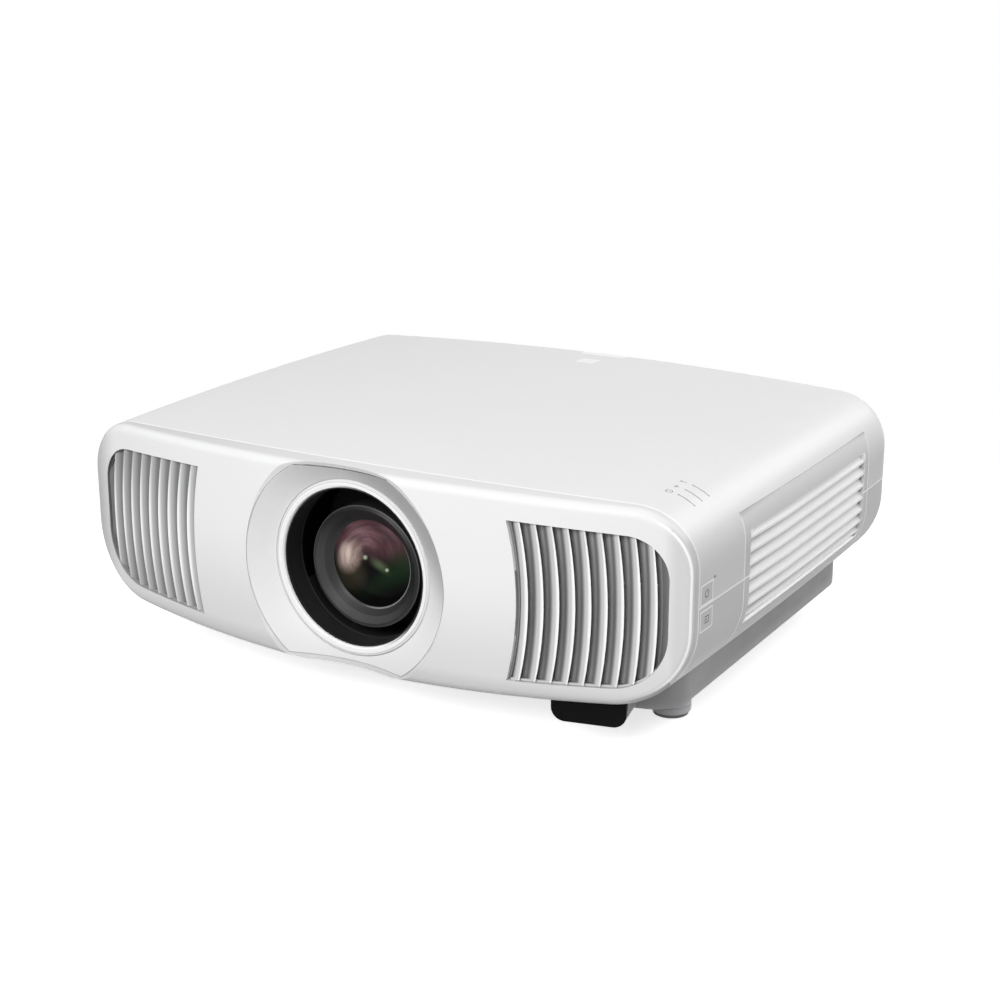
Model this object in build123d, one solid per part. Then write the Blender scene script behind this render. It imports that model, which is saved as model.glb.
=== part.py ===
from build123d import *
import functools
import math
import os

# A home projector in millimetres. X runs across, the front faces -Y and the floor is Z = 0.
# Depths are measured backwards from the foremost point of the front face.

# Case outline
case_width = 520.0
case_depth = 447.0
nose_cut = 1.7
case_top = 193.0
case_underside = 39.0
top_crown = 6.0
belly_rise = 10.0
top_corner = 44.0
low_corner = 58.0
front_sag = 40.0
rear_sag = 14.0
front_taper = 5.5
front_drop = 3.5
rear_taper = 2.5
rear_drop = 3.8
front_edge = 6.5
rear_edge = 38.0
wall = 3.0
seam = 0.3
split_height = 118.0

# Front panel band and its split line
panel_band = 20.0
split_sag = 27.0

# Base pan and feet
base_clearance = 24.0
base_width = 452.0
base_front = 52.0
base_rear = 415.0
base_corner = 30.0
base_wall = 2.5
base_rim = 5.0
foot_inset = 27.5
foot_depth = 134.0
foot_radius = 15.0
foot_height = 12.0
sole_height = 2.5
stem_radius = 6.0
nut_wall = 3.0
nut_height = 26.0
foot_travel = 18.0
rear_foot_depth = 372.0
rear_foot_inset = 64.0
rear_foot_radius = 13.0

# Fits
slide_fit = 0.06
press_fit = 0.03

# Lens opening, from the dish rim inwards
lens_height = 111.5
dish_radius = 84.3
dish_depth = 12.0
dish_wall = 2.5
lip_outer = 66.0
lip_inner = 59.5
lip_depth = 6.0
lip_flange = 1.5
hood_depth = 26.0
hood_sleeve = 30.0
hood_wall = 2.0
lens_clear = 0.6

# Lens, focusing front part then main barrel
focus_radius = 46.0
focus_front = 33.0
focus_length = 39.0
focus_travel = 2.5
glass_radius = 33.0
glass_dome = 9.0
glass_edge = 6.0
barrel_radius = 39.0
barrel_front = 58.0
zoom_seat_front = 99.0
zoom_width = 18.0
tail_radius = 32.0
tail_end = 205.0
gear_module = 1.0
ring_teeth = 88
pinion_teeth = 14
sector_teeth = 20
pinion_width = 14.0
motor_radius = 8.5
motor_length = 26.0
shield_thickness = 1.2

# Lens shift carriage. The lens rests a little below the middle of its lift.
lift_travel = 8.9
lens_rest = -4.0
cross_travel = 7.7
mount_depth = 159.0
mount_thickness = 12.0
mount_half = 100.0
lift_rod = 4.0
cross_rod = 3.0
plate_half = 44.0
cross_half = 60.0
cross_thickness = 7.0

# Front grilles
grille_reach = 240.5
grille_top = 171.6
grille_bottom = 52.0
grille_crown = 5.0
grille_belly = 9.2
grille_corner_high = 30.0
grille_corner_low = 40.0
grille_arc = 237.6
grille_inner = 137.6
louvre_count = 9
louvre_pitch = 10.9
louvre_first = 8.4
louvre_depth = 8.5
louvre_lean = 16.0
louvre_thick = 3.4
louvre_edge = 1.2
grille_depth = 15.0
grille_flange = 4.0

# Fans
fan_size = 92.0
fan_thick = 25.0
fan_depth = 62.0
fan_bore = 44.0
fan_hub = 16.0
fan_blades = 7
fan_shaft = 2.0
duct_wall = 2.0

# Filter cover on the right side
filter_front = 118.0
filter_rear = 366.0
filter_low = 58.0
filter_high = 165.0
vent_front = 127.0
vent_rear = 357.0
vent_low = 82.0
vent_high = 151.0
vent_corner = 8.0
slat_count = 7
slat_pitch = 10.1
slat_first = 82.4
slat_reach = 8.5
slat_rise = 9.0
slat_thick = 1.8
filter_thick = 12.0
pleat_count = 24

# Side buttons
button_gap = 2.2
button_width = 18.0
button_height = 14.0
button_clear = 0.25
button_flange = 1.2
power_low = 119.0
source_low = 100.5
press_travel = 0.8

# Remote receiver
receiver_x = 182.0
receiver_width = 54.0
receiver_inset = 15.0
receiver_corner = 10.0
window_thick = 3.0

# Top details
light_x = 226.0
light_length = 13.0
light_width = 1.3
light_first = 75.0
light_pitch = 11.6
lamp_radius = 1.0
cap_depth = 379.5
cap_width = 17.0
cap_length = 17.0
cap_thick = 1.5
strip_width = 42.0
strip_low = 172.0
strip_front = 406.0

# Rear connector bay
bay_half = 182.0
bay_low = 60.0
bay_high = 112.0
bay_depth = 24.0
bay_wall = 2.0

# Ceiling mount threads
mount_span_x = 300.0
mount_span_y = 220.0
mount_centre_depth = 235.0
insert_radius = 5.0
thread_radius = 2.0
insert_length = 10.0

# Case screws and their columns
column_radius = 5.0
screw_radius = 1.5
screw_head = 3.2
screw_length = 14.0
front_column = (118.0, 120.0)
rear_column = (165.0, 395.0)

# Inside the case
engine_left = -115.0
engine_right = 75.0
engine_front = 212.0
engine_rear = 330.0
engine_low = 70.0
engine_high = 150.0
prism_half = 24.0
prism_rear = 252.0
laser_width = 92.0
laser_low = 60.0
laser_high = 140.0
sink_width = 90.0
sink_front = 98.0
sink_fins = 19
sink_high = 150.0
leg = 8.0
board_thick = 1.6
power_left = 105.0
power_right = 190.0
power_front = 130.0
power_rear = 380.0
standoff = 13.5
main_rear = 400.0
board_gap = 10.0

# Worked out from the sizes above
half = case_width / 2
front_y = -(case_depth + nose_cut) / 2
rear_y = front_y + case_depth
base_half = base_width / 2
floor_top = base_clearance + base_wall
lens_axis = Axis((0, 0, lens_height), (0, 1, 0))


def sag_radius(sag):
    return (half**2 + sag**2) / (2 * sag)


front_radius = sag_radius(front_sag)
rear_radius = sag_radius(rear_sag)
split_radius = sag_radius(split_sag)


def front_fall(x):
    return front_radius - math.sqrt(front_radius**2 - x**2)


dish_rim = front_fall(dish_radius)
dish_floor = dish_rim + dish_depth
cone_slope = (dish_radius - lip_outer) / dish_depth
seat_front = dish_floor + lip_depth
hood_rear = dish_floor + hood_depth
zoom_seat_rear = zoom_seat_front + zoom_width
mount_rear = mount_depth + mount_thickness
cross_front = mount_depth - 2 - cross_thickness
ring_pitch = gear_module * ring_teeth / 2
pinion_pitch = gear_module * pinion_teeth / 2
pinion_x = ring_pitch + pinion_pitch
fan_x = (grille_inner + grille_reach) / 2
foot_x = base_half - foot_inset
rear_foot_x = base_half - rear_foot_inset


def block(x0, x1, d0, d1, z0, z1):
    centre = Pos((x0 + x1) / 2, front_y + (d0 + d1) / 2, (z0 + z1) / 2)
    return centre * Box(x1 - x0, d1 - d0, z1 - z0)


def post(x, depth, z0, z1, radius):
    return Pos(x, front_y + depth, (z0 + z1) / 2) * Cylinder(radius, z1 - z0)


def rod_x(x0, x1, depth, z, radius):
    return Pos((x0 + x1) / 2, front_y + depth, z) * Rot(0, 90, 0) * Cylinder(radius, x1 - x0)


def rod_y(x, d0, d1, z, radius):
    return Pos(x, front_y + (d0 + d1) / 2, z) * Rot(90, 0, 0) * Cylinder(radius, d1 - d0)


def turned(points):
    # A body of revolution about the lens axis, from (radius, depth) points.
    face = make_face(Polyline(*points, close=True))
    return revolve(Pos(0, front_y, lens_height) * face, lens_axis)


def upright(depth):
    return Plane(origin=(0, front_y + depth, 0), x_dir=(1, 0, 0), z_dir=(0, -1, 0))


def crowned(reach, bottom, top, belly, crown, r_low, r_high):
    # A rounded outline seen from the front, with a crowned top and a rising belly.
    high_end = top - crown
    low_end = bottom + belly
    top_line = ThreePointArc((-reach, high_end), (0, top), (reach, high_end))
    right_line = Line((reach, high_end), (reach, low_end))
    low_line = ThreePointArc((reach, low_end), (0, bottom), (-reach, low_end))
    left_line = Line((-reach, low_end), (-reach, high_end))
    face = make_face([top_line, right_line, low_line, left_line])
    face = fillet(face.vertices().sort_by(Axis.Y)[-2:], r_high)
    return fillet(face.vertices().sort_by(Axis.Y)[:2], r_low)


def upright_cylinder(radius, centre_y):
    return Pos(0, centre_y, case_top / 2) * Cylinder(radius, 2 * case_top)


def rim_edges(body, radius, centre_y):
    def on_rim(edge):
        points = [edge @ 0, edge @ 0.5, edge @ 1]
        return all(abs(math.hypot(p.X, p.Y - centre_y) - radius) < 0.01 for p in points)

    return body.edges().filter_by(on_rim)


@functools.lru_cache(maxsize=None)
def envelope(inset):
    # The whole outer form of the case, drawn in on every side by the inset.
    stations = (
        (-10, front_taper, front_drop),
        (case_depth / 2 + 10, 0, 0),
        (case_depth + 10, rear_taper, rear_drop),
    )
    outlines = []
    for depth, taper, drop in stations:
        reach = half - taper - inset
        top = case_top - drop - inset
        bottom = case_underside + inset
        low = low_corner - inset
        high = top_corner - inset
        outline = crowned(reach, bottom, top, belly_rise, top_crown, low, high)
        outlines.append(upright(depth) * outline)
    front_centre = front_y + front_radius
    rear_centre = rear_y - rear_radius
    body = loft(outlines)
    body = body & upright_cylinder(front_radius - inset, front_centre)
    body = body & upright_cylinder(rear_radius - inset, rear_centre)
    body = fillet(rim_edges(body, front_radius - inset, front_centre), front_edge - inset)
    return fillet(rim_edges(body, rear_radius - inset, rear_centre), rear_edge - inset)


def behind_split(gap):
    return upright_cylinder(split_radius - gap, front_y + panel_band + split_radius)


def behind_face(distance):
    return upright_cylinder(front_radius - distance, front_y + front_radius)


def dish_space():
    # The hollow in front of the dish, widening forwards.
    height = dish_floor + 10
    wide = lip_outer + cone_slope * height
    plane = Plane(origin=(0, front_y + dish_floor, lens_height), x_dir=(1, 0, 0), z_dir=(0, -1, 0))
    return plane * Cone(lip_outer, wide, height, align=(Align.CENTER, Align.CENTER, Align.MIN))


def grille_outline(side, grow):
    outline = crowned(
        grille_reach + grow,
        grille_bottom - grow,
        grille_top + grow,
        grille_belly,
        grille_crown,
        grille_corner_low + grow,
        grille_corner_high + grow,
    )
    centre = side * (grille_inner - grille_arc)
    outline = outline - Pos(centre, lens_height) * Circle(grille_arc - grow)
    kept = Pos(side * half / 2, case_top / 2) * Rectangle(half, 2 * case_top)
    return outline & kept


def grille_zone(side, grow, depth):
    face = grille_outline(side, grow)
    return extrude(upright(depth) * face, depth + 10)


skin = envelope(0) - envelope(wall)
cover_skin = skin & behind_split(seam / 2)
above_split = block(-half - 9, half + 9, -9, case_depth + 9, split_height + seam / 2, case_top + 9)
below_split = block(-half - 9, half + 9, -9, case_depth + 9, 0, split_height - seam / 2)


def front_panel():
    panel = skin - behind_split(-seam / 2)
    inner = crowned(
        half - wall,
        case_underside + wall,
        case_top - front_drop - wall,
        belly_rise,
        top_crown,
        low_corner - wall,
        top_corner - wall,
    )
    hole = rod_y(0, -10, panel_band, lens_height, dish_radius + seam)
    panel = panel - (hole & extrude(upright(panel_band) * inner, panel_band + 10))
    panel = panel - dish_space()
    for side in (-1, 1):
        panel = panel - grille_zone(side, 0, front_sag + grille_depth)
    return panel


def grille(side):
    # Curved louvres that lean inwards as they go back, a rim and two tie bars.
    # One more louvre than shows has its nose behind the outer edge of the opening.
    centre_x = side * (grille_inner - grille_arc)
    axis = Axis((centre_x, 0, lens_height), (0, 1, 0))
    sweep = 32
    louvres = []
    for i in range(louvre_count + 1):
        x = grille_inner + louvre_first + i * louvre_pitch
        d = front_fall(x) + 0.5
        outer = (side * x, d)
        inner = (side * (x - louvre_lean), d + louvre_depth)
        inner_back = (side * (x - louvre_lean - louvre_thick), d + louvre_depth)
        outer_back = (side * (x - louvre_edge), d)
        face = make_face(Polyline(outer, inner, inner_back, outer_back, close=True))
        face = Pos(0, front_y, lens_height) * face
        louvres.append(revolve(face.rotate(axis, -sweep / 2), axis, sweep))
    depth = front_sag + grille_depth
    body = Part() + louvres
    body = body & grille_zone(side, -seam, depth)
    rim = grille_zone(side, grille_flange, depth) - grille_zone(side, -1.2, depth)
    rim = (rim & behind_face(wall + seam)) - behind_face(grille_depth)
    tie_gap = (grille_top - grille_bottom) / 3
    ties = []
    for z in (grille_bottom + tie_gap, grille_bottom + 2 * tie_gap):
        tie = block(-half, half, 0, depth, z - 0.8, z + 0.8) & grille_zone(side, -seam, depth)
        ties.append((tie & behind_face(grille_depth - 5)) - behind_face(grille_depth - 1.5))
    return body + rim + ties


def lens_bezel():
    reach = half - front_taper - wall - seam
    inner = crowned(
        reach,
        case_underside + wall + seam,
        case_top - front_drop - wall - 2 * seam,
        belly_rise,
        top_crown,
        low_corner - wall - seam,
        top_corner - wall - seam,
    )
    rim = dish_radius
    deep = dish_floor + dish_wall
    shoulder = dish_rim + 2 * dish_wall
    face = ((lip_outer, dish_floor), (rim, dish_rim))
    back = ((rim, shoulder), (lip_outer + 2, deep), (lip_outer, deep))
    return turned(face + back) & extrude(upright(deep + 1) * inner, deep + 11)


def lens_lip():
    outer = lip_outer - seam
    rear = seat_front
    front = dish_floor - 1.2
    middle = (outer + lip_inner) / 2
    flange = (outer + lip_flange, dish_floor + dish_wall + seam)
    points = (
        (lip_inner, rear),
        (lip_inner, front + 1.6),
        (lip_inner + 0.6, front + 0.4),
        (middle, front),
        (outer - 0.8, front + 0.5),
        (outer, front + 1.6),
        (outer, flange[1]),
        flange,
        (flange[0], rear),
    )
    return turned(points)


def lens_hood():
    # A tube behind the lip that clears the lens at the corners of its shift, with a wider sleeve behind.
    mouth = lip_inner - seam
    bore = focus_radius + math.hypot(lift_travel, cross_travel) + lens_clear
    flange = lip_outer + lip_flange
    seat = seat_front + seam
    sleeve_rear = hood_rear + hood_sleeve
    points = (
        (bore, dish_floor + 2.0),
        (mouth, dish_floor + 2.0),
        (mouth, seat),
        (flange, seat),
        (flange, seat + hood_wall),
        (bore + 2 * hood_wall, seat + hood_wall),
        (bore + 2 * hood_wall, sleeve_rear),
        (bore + hood_wall, sleeve_rear),
        (bore + hood_wall, hood_rear),
        (bore, hood_rear),
    )
    return turned(points)


def split_at_side():
    return panel_band + split_sag


def button_zone(low, grow):
    front = split_at_side() + button_gap
    return block(
        half - 30,
        half + 9,
        front - grow,
        front + button_width + grow,
        low - grow,
        low + button_height + grow,
    )


def button(low):
    # A tile of the side wall on a hidden flange, with a stem towards its switch.
    cap = button_zone(low, 0) & (envelope(0) - envelope(wall + seam + button_flange))
    flange = envelope(wall + seam) - envelope(wall + seam + button_flange)
    flange = button_zone(low, button_flange) & flange
    depth = split_at_side() + button_gap + button_width / 2
    stem = rod_x(half - 11.5, half - 6.5, depth, low + button_height / 2, 2)
    return cap + flange + stem


def switch_board():
    front = split_at_side() + button_gap
    right = half - 11.5 - press_travel - seam - 2
    left = right - board_thick
    board = block(left, right, front + 2, front + button_width + 3, source_low - 3, power_low + 24)
    for low in (power_low, source_low):
        middle = low + button_height / 2
        depth = front + button_width / 2
        board = board + block(right, right + 2, depth - 3, depth + 3, middle - 3, middle + 3)
    for depth in (front + 5, front + button_width - 1):
        pillar = rod_x(right, half, depth, power_low + 20, 2)
        board = board + (pillar & envelope(wall))
    return board


def light_bar(index, grow):
    depth = light_first + index * light_pitch
    edge = light_width / 2 + grow
    right = light_x + light_length + grow
    return block(light_x - grow, right, depth - edge, depth + edge, split_height, case_top)


def lamp_rod(grow):
    depth = split_at_side() + button_gap + button_width + 2.5
    return rod_x(half - 30, half + 9, depth, power_low + button_height + 1.5, lamp_radius + grow)


def status_lights():
    layer = envelope(0) - envelope(wall + 2)
    bars = [light_bar(i, 0) & layer for i in range(3)]
    bars.append(lamp_rod(0) & layer)
    return Part() + bars


def cap_zone(grow):
    reach = cap_width / 2 + grow
    front = cap_depth - cap_length / 2 - grow
    return block(-reach, reach, front, front + cap_length + 2 * grow, split_height, case_top + 9)


def top_plate():
    return cap_zone(0) & (envelope(0) - envelope(cap_thick))


def strip_zone(grow):
    reach = strip_width / 2 + grow
    return block(-reach, reach, strip_front - grow, case_depth + 9, strip_low - grow, case_top + 9)


def rear_window():
    return strip_zone(0) & (envelope(0) - envelope(cap_thick))


def filter_zone(grow):
    return block(
        half - 40,
        half + 9,
        filter_front - grow,
        filter_rear + grow,
        filter_low - grow,
        filter_high + grow,
    )


def columns():
    for x, depth in (front_column, rear_column):
        for side in (-1, 1):
            yield side * x, depth


def top_cover():
    body = cover_skin & above_split
    body = body - filter_zone(seam) - button_zone(power_low, button_clear)
    for i in range(3):
        body = body - light_bar(i, press_fit)
    body = body - lamp_rod(press_fit)
    body = body - (cap_zone(press_fit) - envelope(cap_thick + press_fit))
    body = body - (strip_zone(press_fit) - envelope(cap_thick + press_fit))
    for x, depth in columns():
        column = post(x, depth, floor_top, case_top, column_radius) & envelope(wall / 2)
        foot = post(x, depth, floor_top, case_underside + 9, column_radius)
        hole = post(x, depth, floor_top - 1, base_clearance + screw_length, screw_radius + press_fit)
        body = body + column + foot - hole
    return body


def base_outline(inset):
    rear = front_y + base_rear
    corner = front_y + base_front + front_fall(base_half)
    nose = ThreePointArc((-base_half, corner), (0, front_y + base_front), (base_half, corner))
    right = Line((base_half, corner), (base_half, rear))
    back = Line((base_half, rear), (-base_half, rear))
    left = Line((-base_half, rear), (-base_half, corner))
    face = make_face([nose, right, back, left])
    face = fillet(face.vertices(), base_corner)
    return offset(face, -inset) if inset else face


def lower_case():
    body = cover_skin & below_split
    body = body - filter_zone(seam) - button_zone(source_low, button_clear)
    body = body - button_zone(power_low, button_clear)
    opening = extrude(base_outline(base_rim), case_underside + belly_rise + 2 * wall + 6)
    bay = block(-bay_half, bay_half, case_depth - bay_depth, case_depth + 9, bay_low, bay_high)
    return body - opening - bay


def mount_points():
    for x in (-mount_span_x / 2, mount_span_x / 2):
        for depth in (mount_centre_depth - mount_span_y / 2, mount_centre_depth + mount_span_y / 2):
            yield x, depth


def base_pan():
    top = case_underside + belly_rise + 30
    body = extrude(Pos(0, 0, base_clearance) * base_outline(0), top - base_clearance)
    low_rim = body.edges().filter_by(lambda e: abs(e.center().Z - base_clearance) < 0.01)
    body = fillet(low_rim, base_wall * 0.8)
    body = body - extrude(Pos(0, 0, floor_top) * base_outline(base_wall), top)
    body = body - envelope(-seam)
    for side in (-1, 1):
        bush = stem_radius + nut_wall + press_fit
        body = body - post(side * foot_x, foot_depth, base_clearance - 1, floor_top + 1, bush)
    for x, depth in mount_points():
        body = body - post(x, depth, base_clearance - 1, floor_top + 1, insert_radius + press_fit)
    for x, depth in columns():
        body = body - post(x, depth, base_clearance - 1, floor_top + 1, screw_radius + press_fit)
    return body


def mount_inserts():
    group = Part()
    for x, depth in mount_points():
        tube = post(x, depth, base_clearance, base_clearance + insert_length, insert_radius)
        tube = tube + post(x, depth, floor_top, floor_top + 2, insert_radius + 2)
        group = group + (tube - post(x, depth, 0, case_underside, thread_radius))
    return group


def case_screws():
    group = Part()
    for x, depth in columns():
        head = post(x, depth, base_clearance - 2.2, base_clearance, screw_head)
        shank = post(x, depth, base_clearance - 1, base_clearance + screw_length - 1, screw_radius)
        slot = block(x - 2.2, x + 2.2, depth - 0.5, depth + 0.5, 0, base_clearance - 1.2)
        group = group + (head + shank - slot)
    return group


def foot_nuts():
    group = Part()
    for side in (-1, 1):
        x = side * foot_x
        bush = post(x, foot_depth, base_clearance, base_clearance + nut_height, stem_radius + nut_wall)
        bush = bush + post(x, foot_depth, floor_top, floor_top + 3, stem_radius + nut_wall + 2)
        bore = post(x, foot_depth, 0, case_top, stem_radius + slide_fit)
        group = group + (bush - bore)
    return group


def foot_screw(side):
    x = side * foot_x
    disc = post(x, foot_depth, sole_height, foot_height, foot_radius)
    rims = disc.edges().filter_by(GeomType.CIRCLE)
    disc = fillet(rims, 1.5)
    groove = post(x, foot_depth, foot_height - 4.2, foot_height - 3.2, foot_radius + 1)
    disc = disc - (groove - post(x, foot_depth, 0, case_top, foot_radius - 0.8))
    stem = post(x, foot_depth, foot_height - 1, base_clearance + nut_height + 8, stem_radius)
    pin_hole = post(x, foot_depth, 0, sole_height + 4, 4 + slide_fit)
    return disc + stem - pin_hole


def foot_sole(side):
    x = side * foot_x
    pad = post(x, foot_depth, 0, sole_height - slide_fit, foot_radius - 2)
    return pad + post(x, foot_depth, 0, sole_height + 3.5, 4)


def rear_feet():
    group = Part()
    for side in (-1, 1):
        foot = Cone(rear_foot_radius, rear_foot_radius + 2, base_clearance)
        group = group + Pos(side * rear_foot_x, front_y + rear_foot_depth, base_clearance / 2) * foot
    return group


def receiver_frame():
    angle = math.degrees(math.asin(receiver_x / front_radius))
    depth = front_fall(receiver_x) + receiver_inset
    return Pos(receiver_x, front_y + depth, base_clearance) * Rot(0, 0, angle)


def receiver_shape(thick, tall):
    face = Rectangle(receiver_width, tall, align=(Align.CENTER, Align.MIN))
    face = fillet(face.vertices().sort_by(Axis.Y)[:2], receiver_corner)
    return extrude(Plane(origin=(0, 0, 0), x_dir=(1, 0, 0), z_dir=(0, 1, 0)) * mirror(face, Plane.XZ), thick)


def receiver_window():
    tall = case_underside + belly_rise + wall - base_clearance
    body = receiver_frame() * receiver_shape(window_thick, tall)
    return body - envelope(-seam)


def receiver_housing():
    tall = case_underside + belly_rise + wall - base_clearance
    body = receiver_frame() * Pos(0, window_thick, 0) * receiver_shape(base_front, tall)
    body = body - envelope(-seam)
    return body - extrude(Pos(0, 0, base_clearance - 9) * base_outline(0), case_top)


def filter_cover():
    body = skin & filter_zone(0)
    vent = RectangleRounded(vent_rear - vent_front, vent_high - vent_low, vent_corner)
    middle = front_y + (vent_front + vent_rear) / 2
    plane = Plane(origin=(half - 30, middle, (vent_low + vent_high) / 2), x_dir=(0, 1, 0), z_dir=(1, 0, 0))
    body = body - extrude(plane * vent, 60)
    outer = half - 0.8
    inner = half - slat_reach
    slats = []
    for i in range(slat_count):
        z = slat_first + i * slat_pitch
        back = z + slat_rise
        points = ((outer, z), (inner, back), (inner, back + slat_thick), (outer, z + slat_thick))
        face = make_face(Polyline(*points, close=True))
        slat = extrude(upright(vent_rear + 2) * face, vent_rear - vent_front + 4)
        slats.append(slat)
    rib_gap = (vent_rear - vent_front) / 3
    ribs = []
    for depth in (vent_front - 1.5, vent_front + rib_gap, vent_front + 2 * rib_gap, vent_rear + 1.5):
        rib = block(inner - 3, inner + 1, depth - 1.5, depth + 1.5, vent_low - 4, vent_high + 4)
        ribs.append(rib)
    grid = (Part() + slats + ribs) & envelope(0.5)
    return body + grid


def filter_box(inset):
    right = half - slat_reach - 3 - seam
    return block(
        right - filter_thick,
        right,
        vent_front - 4 + inset,
        vent_rear + 4 - inset,
        vent_low - 5 + inset,
        vent_high + 1 - inset,
    )


def filter_frame():
    return filter_box(0) - filter_hole()


def filter_hole():
    return block(half - 60, half, vent_front - 1, vent_rear + 1, vent_low - 2, vent_high - 2)


def filter_media():
    right = half - slat_reach - 3 - seam - 2
    left = right - filter_thick + 4
    start = front_y + vent_front - 1 + press_fit
    pitch = (vent_rear - vent_front + 2 - 2 * press_fit) / pleat_count / 2
    near = []
    far = []
    for i in range(2 * pleat_count + 1):
        x = left if i % 2 else right - 1.2
        near.append((x, start + i * pitch))
        far.append((x + 1.2, start + i * pitch))
    face = make_face(Polyline(*near, *reversed(far), close=True))
    low = vent_low - 2 + press_fit
    return extrude(Pos(0, 0, low) * face, vent_high - vent_low - 2 * press_fit)


def fan_frame():
    # A square fan frame on local Z, with the hub carried on four struts at the back.
    body = Pos(0, 0, fan_thick / 2) * Box(fan_size, fan_size, fan_thick)
    body = body - Cylinder(fan_bore, 3 * fan_thick)
    hub = Pos(0, 0, fan_thick - 2) * Cylinder(fan_hub + 1, 4)
    for turn in (45, 135):
        hub = hub + Pos(0, 0, fan_thick - 1.5) * Rot(0, 0, turn) * Box(2 * fan_bore + 2, 4, 3)
    body = body + hub
    return body - Pos(0, 0, fan_thick) * Cylinder(fan_shaft + slide_fit, 20)


def fan_rotor():
    body = Pos(0, 0, fan_thick / 2 - 1) * Cylinder(fan_hub, fan_thick - 8)
    tip = fan_bore - 0.8
    for i in range(fan_blades):
        blade = Rot(38, 0, 0) * Box(tip - fan_hub + 4, 19, 1.6)
        blade = Pos((tip + fan_hub) / 2, 0, fan_thick / 2 - 1) * blade
        blade = blade & Pos(0, 0, fan_thick / 2) * Cylinder(tip, 2 * fan_thick)
        body = body + Rot(0, 0, i * 360 / fan_blades) * blade
    return body + Pos(0, 0, fan_thick - 3.5) * Cylinder(fan_shaft, 6)


def exhaust_place(side):
    return Plane(origin=(side * fan_x, front_y + fan_depth, lens_height), x_dir=(1, 0, 0), z_dir=(0, 1, 0))


def intake_place():
    middle = front_y + (filter_front + filter_rear) / 2
    left = half - slat_reach - filter_thick - 14 - fan_thick
    return Plane(origin=(left, middle, lens_height), x_dir=(0, 1, 0), z_dir=(1, 0, 0))


def intake_frame():
    body = intake_place() * fan_frame()
    left = half - slat_reach - filter_thick - 14 - fan_thick
    middle = (filter_front + filter_rear) / 2
    for shift in (-fan_size / 2 + leg, fan_size / 2 - leg):
        depth = middle + shift
        top = lens_height - fan_size / 2
        body = body + block(left, left + leg, depth - leg / 2, depth + leg / 2, floor_top, top)
    return body


def fan_duct(side):
    reach = fan_size / 2
    x = side * fan_x
    outer = block(x - reach, x + reach, 0, fan_depth, lens_height - reach, lens_height + reach)
    hollow = reach - duct_wall
    inner = block(x - hollow, x + hollow, -9, fan_depth + 9, lens_height - hollow, lens_height + hollow)
    return (outer - inner) & behind_face(grille_depth + seam)


def focus_barrel():
    rear = focus_front + focus_length
    seat = focus_front + glass_dome
    bore = barrel_radius + slide_fit
    points = (
        (focus_radius - 3, focus_front),
        (focus_radius, focus_front + 1.5),
        (focus_radius, rear - 12),
        (focus_radius - 2, rear - 12),
        (focus_radius - 2, rear),
        (bore, rear),
        (bore, barrel_front - 2 * focus_travel),
        (glass_radius - 2, barrel_front - 2 * focus_travel),
        (glass_radius - 2, seat + glass_edge),
        (glass_radius + press_fit, seat + glass_edge),
        (glass_radius + press_fit, seat),
        (glass_radius + 2, seat - 1.5),
        (focus_radius - 5, focus_front + 2),
    )
    return turned(points)


def front_lens():
    # A domed element whose rim sits against the shoulder in the focusing barrel.
    edge = focus_front + glass_dome
    back = edge + glass_edge
    bend = (glass_radius**2 + glass_dome**2) / (2 * glass_dome)
    mid = glass_radius / 2
    bulge = bend - glass_dome
    mid_depth = edge + bulge - math.sqrt(bend**2 - mid**2)
    dome = ThreePointArc((0, focus_front), (mid, mid_depth), (glass_radius, edge))
    rim = Line((glass_radius, edge), (glass_radius, back))
    rear = Line((glass_radius, back), (0, back))
    core = Line((0, back), (0, focus_front))
    face = make_face([dome, rim, rear, core])
    return revolve(Pos(0, front_y, lens_height) * face, lens_axis)


def lens_barrel():
    bore = tail_radius - 4
    seat = barrel_radius - 1
    flange = seat + 2
    points = (
        (bore, barrel_front),
        (barrel_radius, barrel_front),
        (barrel_radius, zoom_seat_front),
        (seat, zoom_seat_front),
        (seat, zoom_seat_rear),
        (flange, zoom_seat_rear),
        (flange, cross_front),
        (tail_radius, cross_front),
        (tail_radius, tail_end),
        (bore, tail_end),
    )
    return turned(points)


def rear_lens():
    return rod_y(0, tail_end - 9, tail_end - 1, lens_height, tail_radius - 4 - press_fit)


def tooth(pitch_radius, teeth, backlash):
    # One straight-cut involute tooth pointing along local X, from below the root to the tip.
    pressure = math.radians(20)
    base_radius = pitch_radius * math.cos(pressure)
    tip = pitch_radius + gear_module
    root = pitch_radius - 1.25 * gear_module

    def half_angle(r):
        turn = math.acos(min(1, base_radius / max(r, base_radius)))
        gain = math.tan(pressure) - pressure - math.tan(turn) + turn
        return math.pi / 2 / teeth - backlash / pitch_radius + gain

    radii = [root - 0.6, root, pitch_radius - 0.4, pitch_radius, pitch_radius + 0.5, tip]
    upper = [(r * math.cos(half_angle(r)), r * math.sin(half_angle(r))) for r in radii]
    lower = [(x, -y) for x, y in reversed(upper)]
    return make_face(Polyline(*upper, *lower, close=True))


def gear_plane(x, depth):
    return Plane(origin=(x, front_y + depth, lens_height), x_dir=(1, 0, 0), z_dir=(0, -1, 0))


def zoom_ring():
    front = zoom_seat_front + 0.5
    width = zoom_width - 1
    root = ring_pitch - 1.25 * gear_module
    body = gear_plane(0, front + width) * (Circle(root) - Circle(barrel_radius - 1 + slide_fit))
    body = extrude(body, width)
    step = 360 / ring_teeth
    teeth = []
    for i in range(sector_teeth):
        angle = (i - sector_teeth / 2 + 0.5) * step
        outline = Rot(0, 0, angle) * tooth(ring_pitch, ring_teeth, 0.06)
        teeth.append(extrude(gear_plane(0, front + width) * outline, width))
    return body + teeth


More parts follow.
